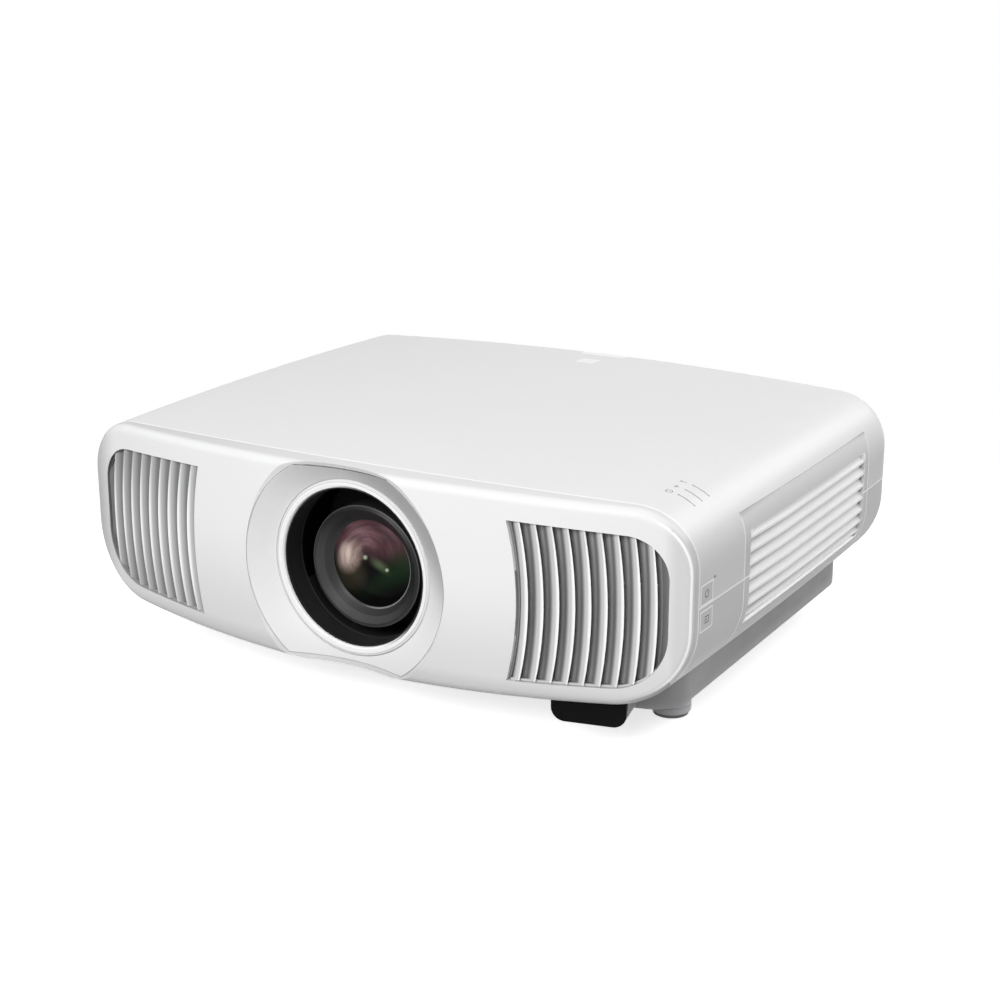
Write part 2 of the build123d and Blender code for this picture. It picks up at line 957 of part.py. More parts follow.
def pinion_front():
    return zoom_seat_front + (zoom_width - pinion_width) / 2


def zoom_pinion():
    plane = gear_plane(pinion_x, pinion_front() + pinion_width)
    body = extrude(plane * Circle(pinion_pitch - 1.25 * gear_module), pinion_width)
    step = 360 / pinion_teeth
    teeth = []
    for i in range(pinion_teeth):
        turn = Rot(0, 0, 180 + i * step)
        teeth.append(extrude(plane * turn * tooth(pinion_pitch, pinion_teeth, 0.06), pinion_width))
    shaft_end = cross_front - motor_length + 6
    return body + teeth + rod_y(pinion_x, pinion_front(), shaft_end, lens_height, 1.5)


def zoom_motor():
    front = cross_front - motor_length
    body = rod_y(pinion_x, front, cross_front, lens_height, motor_radius)
    return body - rod_y(pinion_x, front - 1, front + 8, lens_height, 1.5 + slide_fit)


def dust_shield():
    depth = focus_front + focus_length + focus_travel + 2
    high = case_top - front_drop - wall - lens_height - lift_travel - 6
    plate = RectangleRounded(2 * (lip_inner + cross_travel + 4), 2 * high, 20)
    plate = Pos(0, lens_height) * (plate - Circle(barrel_radius + press_fit))
    return extrude(upright(depth + shield_thickness) * plate, shield_thickness)


def cross_bores(radius, reach):
    offset_z = plate_half - 5
    depth = cross_front + cross_thickness / 2
    bores = [rod_x(-reach, reach, depth, lens_height + s * offset_z, radius) for s in (-1, 1)]
    return Part() + bores


def cross_plate():
    high = plate_half + 1
    rear = cross_front + cross_thickness
    body = block(-cross_half, cross_half, cross_front, rear, lens_height - high, lens_height + high)
    body = body - rod_y(0, cross_front - 1, rear + 1, lens_height, tail_radius + press_fit)
    return body - cross_bores(cross_rod + slide_fit, half)


def cross_lug():
    return cross_half + cross_travel + 4


def cross_rods():
    return cross_bores(cross_rod, cross_lug() + 7)


def lift_x():
    return mount_half - 18


def lift_rod_depth():
    return mount_depth + mount_thickness / 2


def lift_plate():
    front = mount_depth + 0.5
    rear = mount_rear - 0.5
    reach = mount_half - 10
    body = block(-reach, reach, front, rear, lens_height - plate_half, lens_height + plate_half)
    wide = tail_radius + cross_travel + 3
    tall = tail_radius + 2
    body = body - block(-wide, wide, front - 1, rear + 1, lens_height - tall, lens_height + tall)
    offset_z = plate_half - 5
    for side in (-1, 1):
        for s in (-1, 1):
            inner = side * cross_lug()
            outer = side * (cross_lug() + 8)
            z = lens_height + s * offset_z
            lug = block(min(inner, outer), max(inner, outer), cross_front - 2, front, z - 5, z + 5)
            body = body + lug
        bore = post(side * lift_x(), lift_rod_depth(), 0, case_top, lift_rod + slide_fit)
        body = body - bore
    return body - cross_bores(cross_rod + press_fit, cross_lug() + 7)


def mount_low():
    return lens_height - plate_half - lift_travel - 2.5


def mount_high():
    return lens_height + plate_half + lift_travel + 2.5


def lift_rods():
    low = mount_low() - 8
    high = mount_high() + 8
    return Part() + [post(s * lift_x(), lift_rod_depth(), low, high, lift_rod) for s in (-1, 1)]


def lens_mount():
    reach = mount_half - 7
    body = block(-mount_half, mount_half, mount_depth, mount_rear, floor_top, mount_high() + 10)
    body = body - block(-reach, reach, mount_depth - 1, mount_rear + 1, mount_low(), mount_high())
    body = body - block(-reach + 14, reach - 14, mount_depth - 1, mount_rear + 1, 0, mount_low() - 10)
    for side in (-1, 1):
        low = mount_low() - 8
        body = body - post(side * lift_x(), lift_rod_depth(), low, mount_high() + 8, lift_rod + press_fit)
    return body


def legs(x0, x1, d0, d1, top):
    corners = []
    for x in (x0, x1 - leg):
        for d in (d0, d1 - leg):
            corners.append(block(x, x + leg, d, d + leg, floor_top, top))
    return corners


def prism_floor():
    return lens_height - prism_half


def optical_engine():
    body = block(engine_left, engine_right, engine_front, engine_rear, engine_low, engine_high)
    body = body + legs(engine_left, engine_right, engine_front, engine_rear, engine_low + 1)
    reach = prism_half + press_fit
    high = engine_high + 9
    return body - block(-reach, reach, engine_front - 9, prism_rear + press_fit, prism_floor(), high)


def prism_block():
    # A cross-dichroic cube with a panel against three of its faces.
    front = engine_front - 2
    high = lens_height + prism_half
    cube = block(-prism_half + 3, prism_half - 3, front, prism_rear - 3, prism_floor(), high)
    panels = block(-prism_half, -prism_half + 3, front, prism_rear - 3, prism_floor(), high - 4)
    panels = panels + block(prism_half - 3, prism_half, front, prism_rear - 3, prism_floor(), high - 4)
    return cube + panels + block(-prism_half, prism_half, prism_rear - 3, prism_rear, prism_floor(), high - 4)


def laser_module():
    left = engine_left - laser_width
    rear = engine_rear - 10
    body = block(left, engine_left, engine_front + 2, rear, laser_low, laser_high)
    for i in range(4):
        depth = engine_front + 22 + i * 22
        body = body + rod_x(left - 4, left + 1, depth, (laser_low + laser_high) / 2, 7)
    return body + legs(left, engine_left, engine_front + 2, rear, laser_low + 1)


def heat_sink():
    right = engine_left - 13
    left = right - sink_width
    rear = engine_front + 2
    body = block(left, right, sink_front, rear, laser_low, laser_low + 6)
    body = body + block(left, right, rear - 5, rear, laser_low, laser_high)
    pitch = (sink_width - 1.6) / (sink_fins - 1)
    fins = []
    for i in range(sink_fins):
        x = left + i * pitch
        fins.append(block(x, x + 1.6, sink_front, rear - 4, laser_low + 5, sink_high))
    feet = legs(right - 40, right, sink_front + 30, rear - 10, laser_low + 1)
    return body + fins + feet


def power_board():
    low = floor_top + standoff
    top = low + board_thick
    body = block(power_left, power_right, power_front, power_rear, low, top)
    for x in (power_left + 6, power_right - 6):
        for depth in (power_front + 6, power_rear - 6):
            body = body + post(x, depth, floor_top, low + 0.5, 3)
    wide = power_right - power_left
    root = top - 0.5
    d = power_front
    body = body + block(power_left + 12, power_left + 50, d + 20, d + 62, root, top + 34)
    body = body + block(power_left + 20, power_left + 60, d + 120, d + 168, root, top + 28)
    body = body + block(power_right - 14, power_right - 8, d + 30, d + 150, root, top + 40)
    for i in range(3):
        body = body + post(power_left + wide / 2 + 6, power_front + 76 + i * 24, top - 0.5, top + 32, 10)
    return body


def main_board():
    low = engine_high + board_gap
    top = low + board_thick
    front = engine_front + 6
    body = block(engine_left + 5, engine_right - 5, front, main_rear, low, top)
    for x in (engine_left + 11, engine_right - 11):
        for depth in (front + 6, engine_rear - 8):
            body = body + post(x, depth, engine_high, low + 0.5, 3)
    body = body + block(engine_left + 30, engine_left + 75, front + 30, front + 75, top - 0.5, top + 9)
    body = body + block(engine_left + 95, engine_left + 125, front + 40, front + 66, top - 0.5, top + 3)
    for i in range(4):
        x = engine_left + 40 + i * 30
        body = body + block(x, x + 16, main_rear - 30, main_rear - 12, top - 0.5, top + 5)
    return body


def bay_floor():
    return case_depth - bay_depth


def rear_panel():
    # A tray behind the opening in the rear of the lower case, cut for its sockets.
    reach = bay_half + bay_wall
    front = bay_floor() - bay_wall
    outer = block(-reach, reach, front, case_depth, bay_low - bay_wall, bay_high + bay_wall)
    body = outer - block(-bay_half, bay_half, bay_floor(), case_depth + 9, bay_low, bay_high)
    body = body & envelope(wall + seam)
    for cut in socket_cuts():
        body = body - cut
    return body


socket_height = 84.0
inlet_x = -150.0
lan_x = 30.0
serial_x = 78.0
trigger_x = 120.0
usb_x = -5.0
hdmi_x = (-88.0, -52.0)
socket_sizes = {
    "inlet": (28.0, 20.0, 22.0),
    "lan": (16.0, 14.0, 20.0),
    "hdmi": (18.0, 8.0, 14.0),
    "usb": (15.0, 8.0, 14.0),
    "serial": (31.0, 12.5, 12.0),
}


def socket_block(kind, x, grow, d0, d1):
    wide, tall, _ = socket_sizes[kind]
    w = wide / 2 + grow
    h = tall / 2 + grow
    return block(x - w, x + w, d0, d1, socket_height - h, socket_height + h)


def socket_places():
    yield "inlet", inlet_x
    yield "lan", lan_x
    yield "usb", usb_x
    yield "serial", serial_x
    for x in hdmi_x:
        yield "hdmi", x


def socket_cuts():
    for kind, x in socket_places():
        yield socket_block(kind, x, press_fit, bay_floor() - 9, bay_floor() + 9)
    yield rod_y(trigger_x, bay_floor() - 9, bay_floor() + 9, socket_height, 4 + press_fit)


def socket(kind, x, shell):
    # A socket body flush with the bay floor, hollow from the rear, with a hidden stop flange.
    length = socket_sizes[kind][2]
    front = bay_floor() - length
    body = socket_block(kind, x, 0, front, bay_floor() + 0.6)
    body = body + socket_block(kind, x, 1.5, bay_floor() - bay_wall - 2, bay_floor() - bay_wall)
    return body - socket_block(kind, x, -shell, front + 3, bay_floor() + 9)


def ac_inlet():
    body = socket("inlet", inlet_x, 2)
    front = bay_floor() - socket_sizes["inlet"][2]
    for dx, dz in ((-7, -2), (0, 2), (7, -2)):
        x = inlet_x + dx
        z = socket_height + dz
        body = body + block(x - 2, x + 2, front + 2, front + 12, z - 1, z + 1)
    return body


def hdmi_ports():
    group = Part()
    for x in hdmi_x:
        front = bay_floor() - socket_sizes["hdmi"][2]
        tongue = block(x - 5.5, x + 5.5, front + 2, bay_floor() - 2, socket_height - 0.6, socket_height + 0.6)
        group = group + (socket("hdmi", x, 1) + tongue)
    return group


def usb_port():
    front = bay_floor() - socket_sizes["usb"][2]
    tongue = block(usb_x - 5.5, usb_x + 5.5, front + 2, bay_floor() - 2, socket_height, socket_height + 1.8)
    return socket("usb", usb_x, 0.8) + tongue


def lan_port():
    return socket("lan", lan_x, 1.5)


def serial_port():
    body = socket("serial", serial_x, 1)
    front = bay_floor() - socket_sizes["serial"][2]
    for i in range(9):
        x = serial_x + (i % 5 - 2 + 0.5 * (i // 5)) * 2.76
        z = socket_height + (1.4 if i < 5 else -1.4)
        body = body + rod_y(x, front + 2, front + 9, z, 0.5)
    return body


def trigger_jack():
    front = bay_floor() - 14
    body = rod_y(trigger_x, front, bay_floor() + 0.6, socket_height, 4)
    body = body + rod_y(trigger_x, bay_floor() - bay_wall - 2, bay_floor() - bay_wall, socket_height, 6)
    return body - rod_y(trigger_x, front + 2, bay_floor() + 9, socket_height, 1.8)


lens_place = Pos(0, 0, lens_rest)

nodes = {
    "front_panel": front_panel(),
    "grille_left": grille(-1),
    "grille_right": grille(1),
    "lens_bezel": lens_bezel(),
    "lens_lip": lens_lip(),
    "lens_hood": lens_hood(),
    "top_cover": top_cover(),
    "lower_case": lower_case(),
    "base_pan": base_pan(),
    "filter_cover": filter_cover(),
    "filter_frame": filter_frame(),
    "filter_media": filter_media(),
    "power_button": button(power_low),
    "source_button": button(source_low),
    "switch_board": switch_board(),
    "status_lights": status_lights(),
    "top_plate": top_plate(),
    "rear_window": rear_window(),
    "receiver_window": receiver_window(),
    "receiver_housing": receiver_housing(),
    "rear_panel": rear_panel(),
    "ac_inlet": ac_inlet(),
    "hdmi_ports": hdmi_ports(),
    "usb_port": usb_port(),
    "lan_port": lan_port(),
    "serial_port": serial_port(),
    "trigger_jack": trigger_jack(),
    "foot_screw_left": foot_screw(-1),
    "foot_screw_right": foot_screw(1),
    "foot_sole_left": foot_sole(-1),
    "foot_sole_right": foot_sole(1),
    "foot_nuts": foot_nuts(),
    "rear_feet": rear_feet(),
    "mount_inserts": mount_inserts(),
    "case_screws": case_screws(),
    "fan_ducts": fan_duct(-1) + fan_duct(1),
    "exhaust_frames": exhaust_place(-1) * fan_frame() + exhaust_place(1) * fan_frame(),
    "intake_frame": intake_frame(),
    "exhaust_rotor_left": exhaust_place(-1) * fan_rotor(),
    "exhaust_rotor_right": exhaust_place(1) * fan_rotor(),
    "intake_rotor": intake_place() * fan_rotor(),
    "focus_barrel": lens_place * focus_barrel(),
    "front_lens": lens_place * front_lens(),
    "lens_barrel": lens_place * lens_barrel(),
    "rear_lens": lens_place * rear_lens(),
    "zoom_ring": lens_place * zoom_ring(),
    "zoom_pinion": lens_place * zoom_pinion(),
    "zoom_motor": lens_place * zoom_motor(),
    "dust_shield": lens_place * dust_shield(),
    "cross_plate": lens_place * cross_plate(),
    "cross_rods": lens_place * cross_rods(),
    "lift_plate": lens_place * lift_plate(),
    "lift_rods": lift_rods(),
    "lens_mount": lens_mount(),
    "optical_engine": optical_engine(),
    "prism_block": prism_block(),
    "laser_module": laser_module(),
    "heat_sink": heat_sink(),
    "power_board": power_board(),
    "main_board": main_board(),
}

os.makedirs("parts", exist_ok=True)
for name, body in nodes.items():
    export_step(body, f"parts/{name}.step")
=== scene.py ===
import bpy
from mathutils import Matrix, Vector

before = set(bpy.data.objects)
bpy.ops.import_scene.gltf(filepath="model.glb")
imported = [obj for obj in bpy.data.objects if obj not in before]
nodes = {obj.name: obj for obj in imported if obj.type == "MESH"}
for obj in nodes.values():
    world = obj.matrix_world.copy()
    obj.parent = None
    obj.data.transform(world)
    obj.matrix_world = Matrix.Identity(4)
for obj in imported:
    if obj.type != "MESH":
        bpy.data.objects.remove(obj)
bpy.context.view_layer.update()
print("frame loaded:", len(nodes), "nodes")

# Places on the case, in metres, in the frame of the part.
case = {
    "frontY": -0.22435,
    "halfWidth": 0.26,
    "frontSag": 0.040,
    "splitDepth": 0.020,
    "splitSag": 0.027,
    "splitHeight": 0.118,
    "lensHeight": 0.1115,
    "lensRest": -0.004,
    "hoodEdge": 0.0370,
    "arcX": 0.100,
    "keyY": -0.1661,
    "keyHalf": (0.0090, 0.0070),
    "powerZ": 0.1260,
    "sourceZ": 0.1075,
    "openingX": (0.1364, 0.2416),
    "openingZ": (0.0505, 0.1735),
    "filterY": (-0.1063, 0.1417),
    "filterZ": (0.058, 0.165),
    "ventY": (-0.09735, 0.13265),
    "ventZ": (0.082, 0.151),
    "signX": 0.2195,
    "signY": (-0.14935, -0.13775, -0.12615),
}

camera = {
    "eye": (0.7293, -1.2590, 0.5534),
    "target": (0.01616, -0.02435, 0.11625),
    "right": (0.8659, 0.5002, 0.0),
    "up": (-0.1466, 0.2539, 0.9561),
    "lens": 68.07,
    "sensor": 36.0,
    "clip": (0.05, 80.0),
}

# The rays that meet the white of the floor and the world.
seenRays = ("Is Camera Ray", "Is Glossy Ray", "Is Transmission Ray")


class Wire:
    # One shader value. Arithmetic on it adds a Math node to its graph.
    def __init__(self, graph, socket):
        self.graph = graph
        self.socket = socket

    def math(self, operation, *others):
        return self.graph.make("ShaderNodeMath", (self, *others), operation=operation)

    def __add__(self, other):
        return self.math("ADD", other)

    def __sub__(self, other):
        return self.math("SUBTRACT", other)

    def __rsub__(self, other):
        return self.graph.make("ShaderNodeMath", (other, self), operation="SUBTRACT")

    def __mul__(self, other):
        return self.math("MULTIPLY", other)

    __radd__ = __add__
    __rmul__ = __mul__

    def absolute(self):
        return self.math("ABSOLUTE")

    def most(self, other):
        return self.math("MAXIMUM", other)

    def band(self, low, high):
        # A smooth step from 0 at low to 1 at high. It falls where high is the smaller one.
        inputs = {"Value": self, "From Min": low, "From Max": high}
        return self.graph.make("ShaderNodeMapRange", inputs, interpolation_type="SMOOTHSTEP")


class Graph:
    # A node tree. make adds a node, with its settings first and then the values or links of its inputs.
    def __init__(self, tree):
        self.tree = tree

    def make(self, kind, inputs=(), output=0, **settings):
        node = self.tree.nodes.new(kind)
        for key, value in settings.items():
            setattr(node, key, value)
        pairs = inputs.items() if isinstance(inputs, dict) else enumerate(inputs)
        for key, value in pairs:
            if isinstance(value, Wire):
                self.tree.links.new(value.socket, node.inputs[key])
            else:
                node.inputs[key].default_value = value
        return Wire(self, node.outputs[output])

    def seen(self):
        # 1 for the rays that are shown the white of the floor and the world.
        first, *others = [self.make("ShaderNodeLightPath", output=ray) for ray in seenRays]
        for other in others:
            first = first.most(other)
        return first

    def show(self, wire, ending):
        self.tree.links.new(wire.socket, self.tree.nodes[ending].inputs["Surface"])


class Finish(Graph):
    # The node tree of one material, with its Principled shader.
    def __init__(self, name, **constants):
        self.material = bpy.data.materials.new(name)
        self.material.use_nodes = True
        super().__init__(self.material.node_tree)
        self.shader = self.tree.nodes["Principled BSDF"]
        for key, value in constants.items():
            self.shader.inputs[key.replace("_", " ")].default_value = value
        self.place = self.make("ShaderNodeTexCoord", output="Object")

    def link(self, name, wire):
        self.tree.links.new(wire.socket, self.shader.inputs[name])

    def axes(self, names="xyz"):
        split = self.make("ShaderNodeSeparateXYZ", (self.place,)).socket.node
        return [Wire(self, split.outputs["xyz".index(name)]) for name in names]

    def along(self, origin, axis):
        # How far the shaded point lies from the origin along the axis.
        shifted = self.make("ShaderNodeVectorMath", (self.place, origin), operation="SUBTRACT")
        return self.make("ShaderNodeVectorMath", (shifted, axis), output="Value", operation="DOT_PRODUCT")

    def noise(self, scale, detail=2.0, stretch=(1.0, 1.0, 1.0)):
        spread = self.make("ShaderNodeVectorMath", (self.place, stretch), operation="MULTIPLY")
        inputs = {"Vector": spread, "Scale": scale, "Detail": detail}
        return self.make("ShaderNodeTexNoise", inputs)

    def mix(self, factor, first, second):
        # Inputs 0, 6 and 7 of a colour Mix node are its factor and its two colours.
        return self.make("ShaderNodeMix", {0: factor, 6: first, 7: second}, output=2, data_type="RGBA")

    def fade(self, colour, mask, share, tone):
        # Where the mask is 1, the colour takes on this share of a grey tone.
        return self.mix(mask * share, colour, grey(tone))

    def bump(self, height, strength, distance=0.0004):
        inputs = {"Height": height, "Strength": strength, "Distance": distance}
        self.link("Normal", self.make("ShaderNodeBump", inputs))


def grey(value, tint=(1.0, 1.0, 1.0)):
    return (value * tint[0], value * tint[1], value * tint[2], 1.0)


def middleHalf(span):
    low, high = span
    return (low + high) / 2, (high - low) / 2


def radial(u, v):
    return (u * u + v * v).math("SQRT")


def lineMark(value, place, edges):
    # 0 from the first of the two edges outwards, 1 from the second one to the place itself.
    return (value - place).absolute().band(*edges)


def frameMark(u, v, halfU, halfV, width):
    # 1 along the outline of a rectangle.
    edge = (u.absolute() - halfU).most(v.absolute() - halfV)
    return edge.absolute().band(width, width * 0.5)


def blockMark(u, v, halfU, halfV, soft=0.0001):
    # 1 inside a rectangle.
    edge = (u.absolute() - halfU).most(v.absolute() - halfV)
    return edge.band(soft, -soft)


def boxMark(u, v, spanU, spanV, soft=0.0001):
    # 1 inside a rectangle that runs from the low to the high end of each span.
    (midU, halfU), (midV, halfV) = middleHalf(spanU), middleHalf(spanV)
    return blockMark(u - midU, v - midV, halfU, halfV, soft)


def ringMark(u, v, radius, width):
    return lineMark(radial(u, v), radius, (width, width * 0.5))


def discMark(u, v, radius, soft=0.0001):
    return radial(u, v).band(radius + soft, radius - soft)


# The signs are drawn in parts of their size.
def powerSign(u, v, size):
    # A broken ring with a bar in its gap.
    gap = blockMark(u, v - size, size * 0.42, size * 0.7)
    ring = ringMark(u, v, size, size * 0.22) * gap.band(1.0, 0.0)
    return ring.most(blockMark(u, v - size * 0.75, size * 0.10, size * 0.62))


def sourceSign(u, v, size):
    # An open box with an arrow that points into it.
    box = frameMark(u - size * 0.3, v, size, size * 0.85, size * 0.2)
    box = box * blockMark(u + size * 0.75, v, size * 0.5, size * 0.45).band(1.0, 0.0)
    shaft = blockMark(u + size * 0.75, v, size * 0.75, size * 0.10)
    slope = (v.absolute() + u * 0.9).band(size * 0.40, size * 0.28)
    head = slope * u.band(size * -0.25, size * -0.15)
    return box.most(shaft).most(head)


def heatSign(u, v, size):
    # A bulb with a stem.
    bulb = discMark(u + size * 0.7, v, size * 0.42)
    return bulb.most(blockMark(u - size * 0.2, v, size * 0.9, size * 0.16))


def lightSign(u, v, size):
    # A disc with four rays.
    star = blockMark(u, v, size, size * 0.13).most(blockMark(u, v, size * 0.13, size))
    return star.most(discMark(u, v, size * 0.45))


signLook = {"topSize": 0.0023, "topZ": (0.170, 0.175), "keySize": 0.0026}


def topSigns(x, y, z):
    # One sign beside each light bar.
    signs = zip((powerSign, lightSign, heatSign), case["signY"])
    first, *others = [sign(x - case["signX"], y - signY, signLook["topSize"]) for sign, signY in signs]
    for other in others:
        first = first.most(other)
    return first * z.band(*signLook["topZ"])


def powerKeySign(x, y, z):
    return powerSign(y - case["keyY"], z - case["powerZ"], signLook["keySize"])


def sourceKeySign(x, y, z):
    return sourceSign(y - case["keyY"], z - case["sourceZ"], signLook["keySize"])


def arcDepth(graph, start, sag):
    # How far the shaded point lies behind an arc across the case, which starts at a depth and has a sag.
    x, y = graph.axes("xy")
    radius = (case["halfWidth"] ** 2 + sag ** 2) / (2 * sag)
    return radius - radial(x, y - (case["frontY"] + start + radius))


def faceDepth(graph):
    # How far the shaded point lies behind the curved front face.
    return arcDepth(graph, 0.0, case["frontSag"])


def lensPolar(graph, lift=0.0):
    # Distance from the axis of the lens opening, and the two coordinates across it.
    # The lift moves the axis to that of the lens.
    x, z = graph.axes("xz")
    up = z - (case["lensHeight"] + lift)
    return radial(x, up), x, up


seamLook = {"fine": 0.4, "keyShare": 0.8, "openTop": (-0.001, -0.003), "rightX": (0.20, 0.21)}


def seamHighlight(graph, width, onPanel):
    # 1 along the split lines of the case: a painted highlight where the moulded edges catch the light.
    edges = (width, width * seamLook["fine"])
    panel = arcDepth(graph, case["splitDepth"], case["splitSag"]).absolute().band(*edges)
    if onPanel:
        return panel
    x, y, z = graph.axes()
    side = lineMark(z, case["splitHeight"], edges)
    (midY, halfY), (midZ, halfZ) = middleHalf(case["filterY"]), middleHalf(case["filterZ"])
    lines = frameMark(y - midY, z - midZ, halfY, halfZ, width)
    lines = lines * z.band(*[case["filterZ"][1] + drop for drop in seamLook["openTop"]])
    for keyZ in (case["powerZ"], case["sourceZ"]):
        keyLine = frameMark(y - case["keyY"], z - keyZ, *case["keyHalf"], width * seamLook["keyShare"])
        lines = lines.most(keyLine)
    return panel.most(side).most(lines * x.band(*seamLook["rightX"]))


# In the looks below, a pair that ends in Mix is a share and the grey tone that is mixed in by it.
# Most other pairs are where a smooth step starts and ends.
frontLook = {
    "wallDepth": (0.0003, 0.0009), "wallMix": (1.0, 0.25),
    "lowZ": (0.135, 0.045), "lowShare": 0.62,
    "rightX": (0.234, 0.247), "rightDepth": (0.003, 0.001), "rightShare": 0.75,
    "bandDepth": (0.002, 0.0065), "bandZ": (0.160, 0.175), "bandX": (0.05, -0.22),
    "bandShare": 0.32, "bandGain": 0.5, "fallMix": (1.0, 0.60),
    "rimZ": (0.058, 0.046), "rimMix": (0.6, 0.50),
    "turnX": (0.246, 0.252), "turnDepth": (0.0009, 0.0022), "turnMix": (0.9, 0.66),
    "endX": (-0.225, -0.262), "endMix": (0.85, 0.35),
    "shineStart": (0.00015, 0.0004), "shineEnd": (0.0013, 0.0008), "shineX": (0.222, 0.246),
}


def frontFall(graph, colour):
    # Painted shade greys the front towards its lower edge and rim, its two ends, the left of its upper
    # band and the band past its right corner. The walls of the grille openings are painted in shade.
    look = frontLook
    x, z = graph.axes("xz")
    depth = faceDepth(graph)
    inside = boxMark(x.absolute(), z, case["openingX"], case["openingZ"])
    colour = graph.fade(colour, inside * depth.band(*look["wallDepth"]), *look["wallMix"])
    low = z.band(*look["lowZ"]) * look["lowShare"]
    right = x.band(*look["rightX"]) * depth.band(*look["rightDepth"]) * look["rightShare"]
    share = look["bandShare"] + look["bandGain"] * x.band(*look["bandX"])
    band = depth.band(*look["bandDepth"]) * z.band(*look["bandZ"]) * share
    colour = graph.fade(colour, low.most(right).most(band), *look["fallMix"])
    colour = graph.fade(colour, z.band(*look["rimZ"]), *look["rimMix"])
    turned = x.band(*look["turnX"]) * depth.band(*look["turnDepth"])
    colour = graph.fade(colour, turned, *look["turnMix"])
    return graph.fade(colour, x.band(*look["endX"]), *look["endMix"])


def cornerShine(graph):
    # 1 along the right corner of the front, where the face turns to the side: a painted highlight that
    # glows faintly.
    depth = faceDepth(graph)
    (x,) = graph.axes("x")
    strip = depth.band(*frontLook["shineStart"]) * depth.band(*frontLook["shineEnd"])
    return strip * x.band(*frontLook["shineX"])


lipLook = {
    "shineReach": (0.0604, 0.0598), "shineSide": (0.02, -0.03),
    "stepReach": (0.0637, 0.0640), "stepMix": (0.45, 0.60),
    "lineReach": 0.0638, "lineEdges": (0.0005, 0.0002), "lineMix": (0.5, 0.40),
    "darkReach": (0.0613, 0.0609), "darkLean": 0.4, "darkSide": (0.0, 0.04), "darkMix": (1.0, 0.02),
}


def lipShine(graph):
    # 1 on the left and the lower part of the lip's inner wall, where a painted highlight glows in place
    # of light.
    reach, x, up = lensPolar(graph)
    return reach.band(*lipLook["shineReach"]) * (x + up).band(*lipLook["shineSide"])


def lipPaint(graph, colour):
    # A grey outer step with a fine line at its foot, and painted shade on the inner edge on the right.
    look = lipLook
    reach, x, up = lensPolar(graph)
    colour = graph.fade(colour, reach.band(*look["stepReach"]), *look["stepMix"])
    colour = graph.fade(colour, lineMark(reach, look["lineReach"], look["lineEdges"]), *look["lineMix"])
    right = (x + up * look["darkLean"]).band(*look["darkSide"])
    return graph.fade(colour, reach.band(*look["darkReach"]) * right, *look["darkMix"])


grilleLook = {
    "outerX": (-0.13, -0.245), "outerDepth": (0.0004, 0.0014), "outerMix": (0.45, 0.18),
    "startReach": (0.2397, 0.2386), "endReach": (0.3334, 0.3340), "endDepth": (0.0010, 0.0018),
    "endsMix": (0.9, 0.19),
}


def grilleShade(graph, colour):
    # Painted shade greys the left louvres towards their outer end, behind their bright noses.
    # Both ends of each grille are painted in shade. The louvres are arcs round one axis.
    look = grilleLook
    x, z = graph.axes("xz")
    depth = faceDepth(graph)
    outer = x.band(*look["outerX"]) * depth.band(*look["outerDepth"])
    colour = graph.fade(colour, outer, *look["outerMix"])
    reach = radial(x.absolute() + case["arcX"], z - case["lensHeight"])
    end = reach.band(*look["endReach"]) * depth.band(*look["endDepth"])
    return graph.fade(colour, reach.band(*look["startReach"]).most(end), *look["endsMix"])


dishLook = {
    "highLean": 0.55, "highSide": (0.005, 0.085), "highMix": (0.85, 0.50),
    "rightSide": (0.06, 0.11), "rightMix": (0.65, 0.36),
    "lowUp": (-0.04, -0.08), "lowMix": (0.7, 0.62),
    "rimReach": 0.0843, "rimEdges": (0.0007, 0.0002),
    "rimLowUp": (0.055, 0.03), "rimLowMix": (0.6, 0.45),
    "rimHighUp": (0.045, 0.06), "rimHighMix": (1.0, 0.98),
}


def dishFall(graph, colour):
    # Painted shade greys the dish high on its right, where it turns away from the light, and low down.
    # Its rim is a fine grey line lower down, with a painted highlight on it at the top.
    look = dishLook
    reach, x, up = lensPolar(graph)
    high = (x * look["highLean"] + up).band(*look["highSide"])
    colour = graph.fade(colour, high, *look["highMix"])
    colour = graph.fade(colour, (x + up).band(*look["rightSide"]), *look["rightMix"])
    colour = graph.fade(colour, up.band(*look["lowUp"]), *look["lowMix"])
    rim = lineMark(reach, look["rimReach"], look["rimEdges"])
    colour = graph.fade(colour, rim * up.band(*look["rimLowUp"]), *look["rimLowMix"])
    return graph.fade(colour, rim * up.band(*look["rimHighUp"]), *look["rimHighMix"])


sideLook = {
    "flankX": (0.236, 0.254), "topZ": (0.162, 0.134), "footZ": (0.040, 0.060), "flankMix": (0.9, 0.64),
}


def sideFall(graph, colour):
    # Painted shade greys the sides half way up, where they face neither the lights nor the floor.
    look = sideLook
    x, z = graph.axes("xz")
    flank = x.absolute().band(*look["flankX"]) * z.band(*look["topZ"]) * z.band(*look["footZ"])
    return graph.fade(colour, flank, *look["flankMix"])


ventLook = {
    "soft": 0.0006, "slatTone": 0.97,
    "insideZ": (0.001, 0.004), "noseDepth": (0.0055, 0.0035), "noseShare": 0.14,
    "sillEdges": (0.0005, 0.0002), "sillX": (0.249, 0.252), "sillEnd": 0.001,
}


def insideVent(graph):
    # 1 within the outline of the vent in the filter cover.
    y, z = graph.axes("yz")
    return boxMark(y, z, case["ventY"], case["ventZ"], ventLook["soft"])


def slatDepth(graph):
    # How far the shaded point lies inside the right wall of the case, above the lower edge of the vent.
    x, z = graph.axes("xz")
    return (case["halfWidth"] - x) * z.band(*[case["ventZ"][0] + rise for rise in ventLook["insideZ"]])


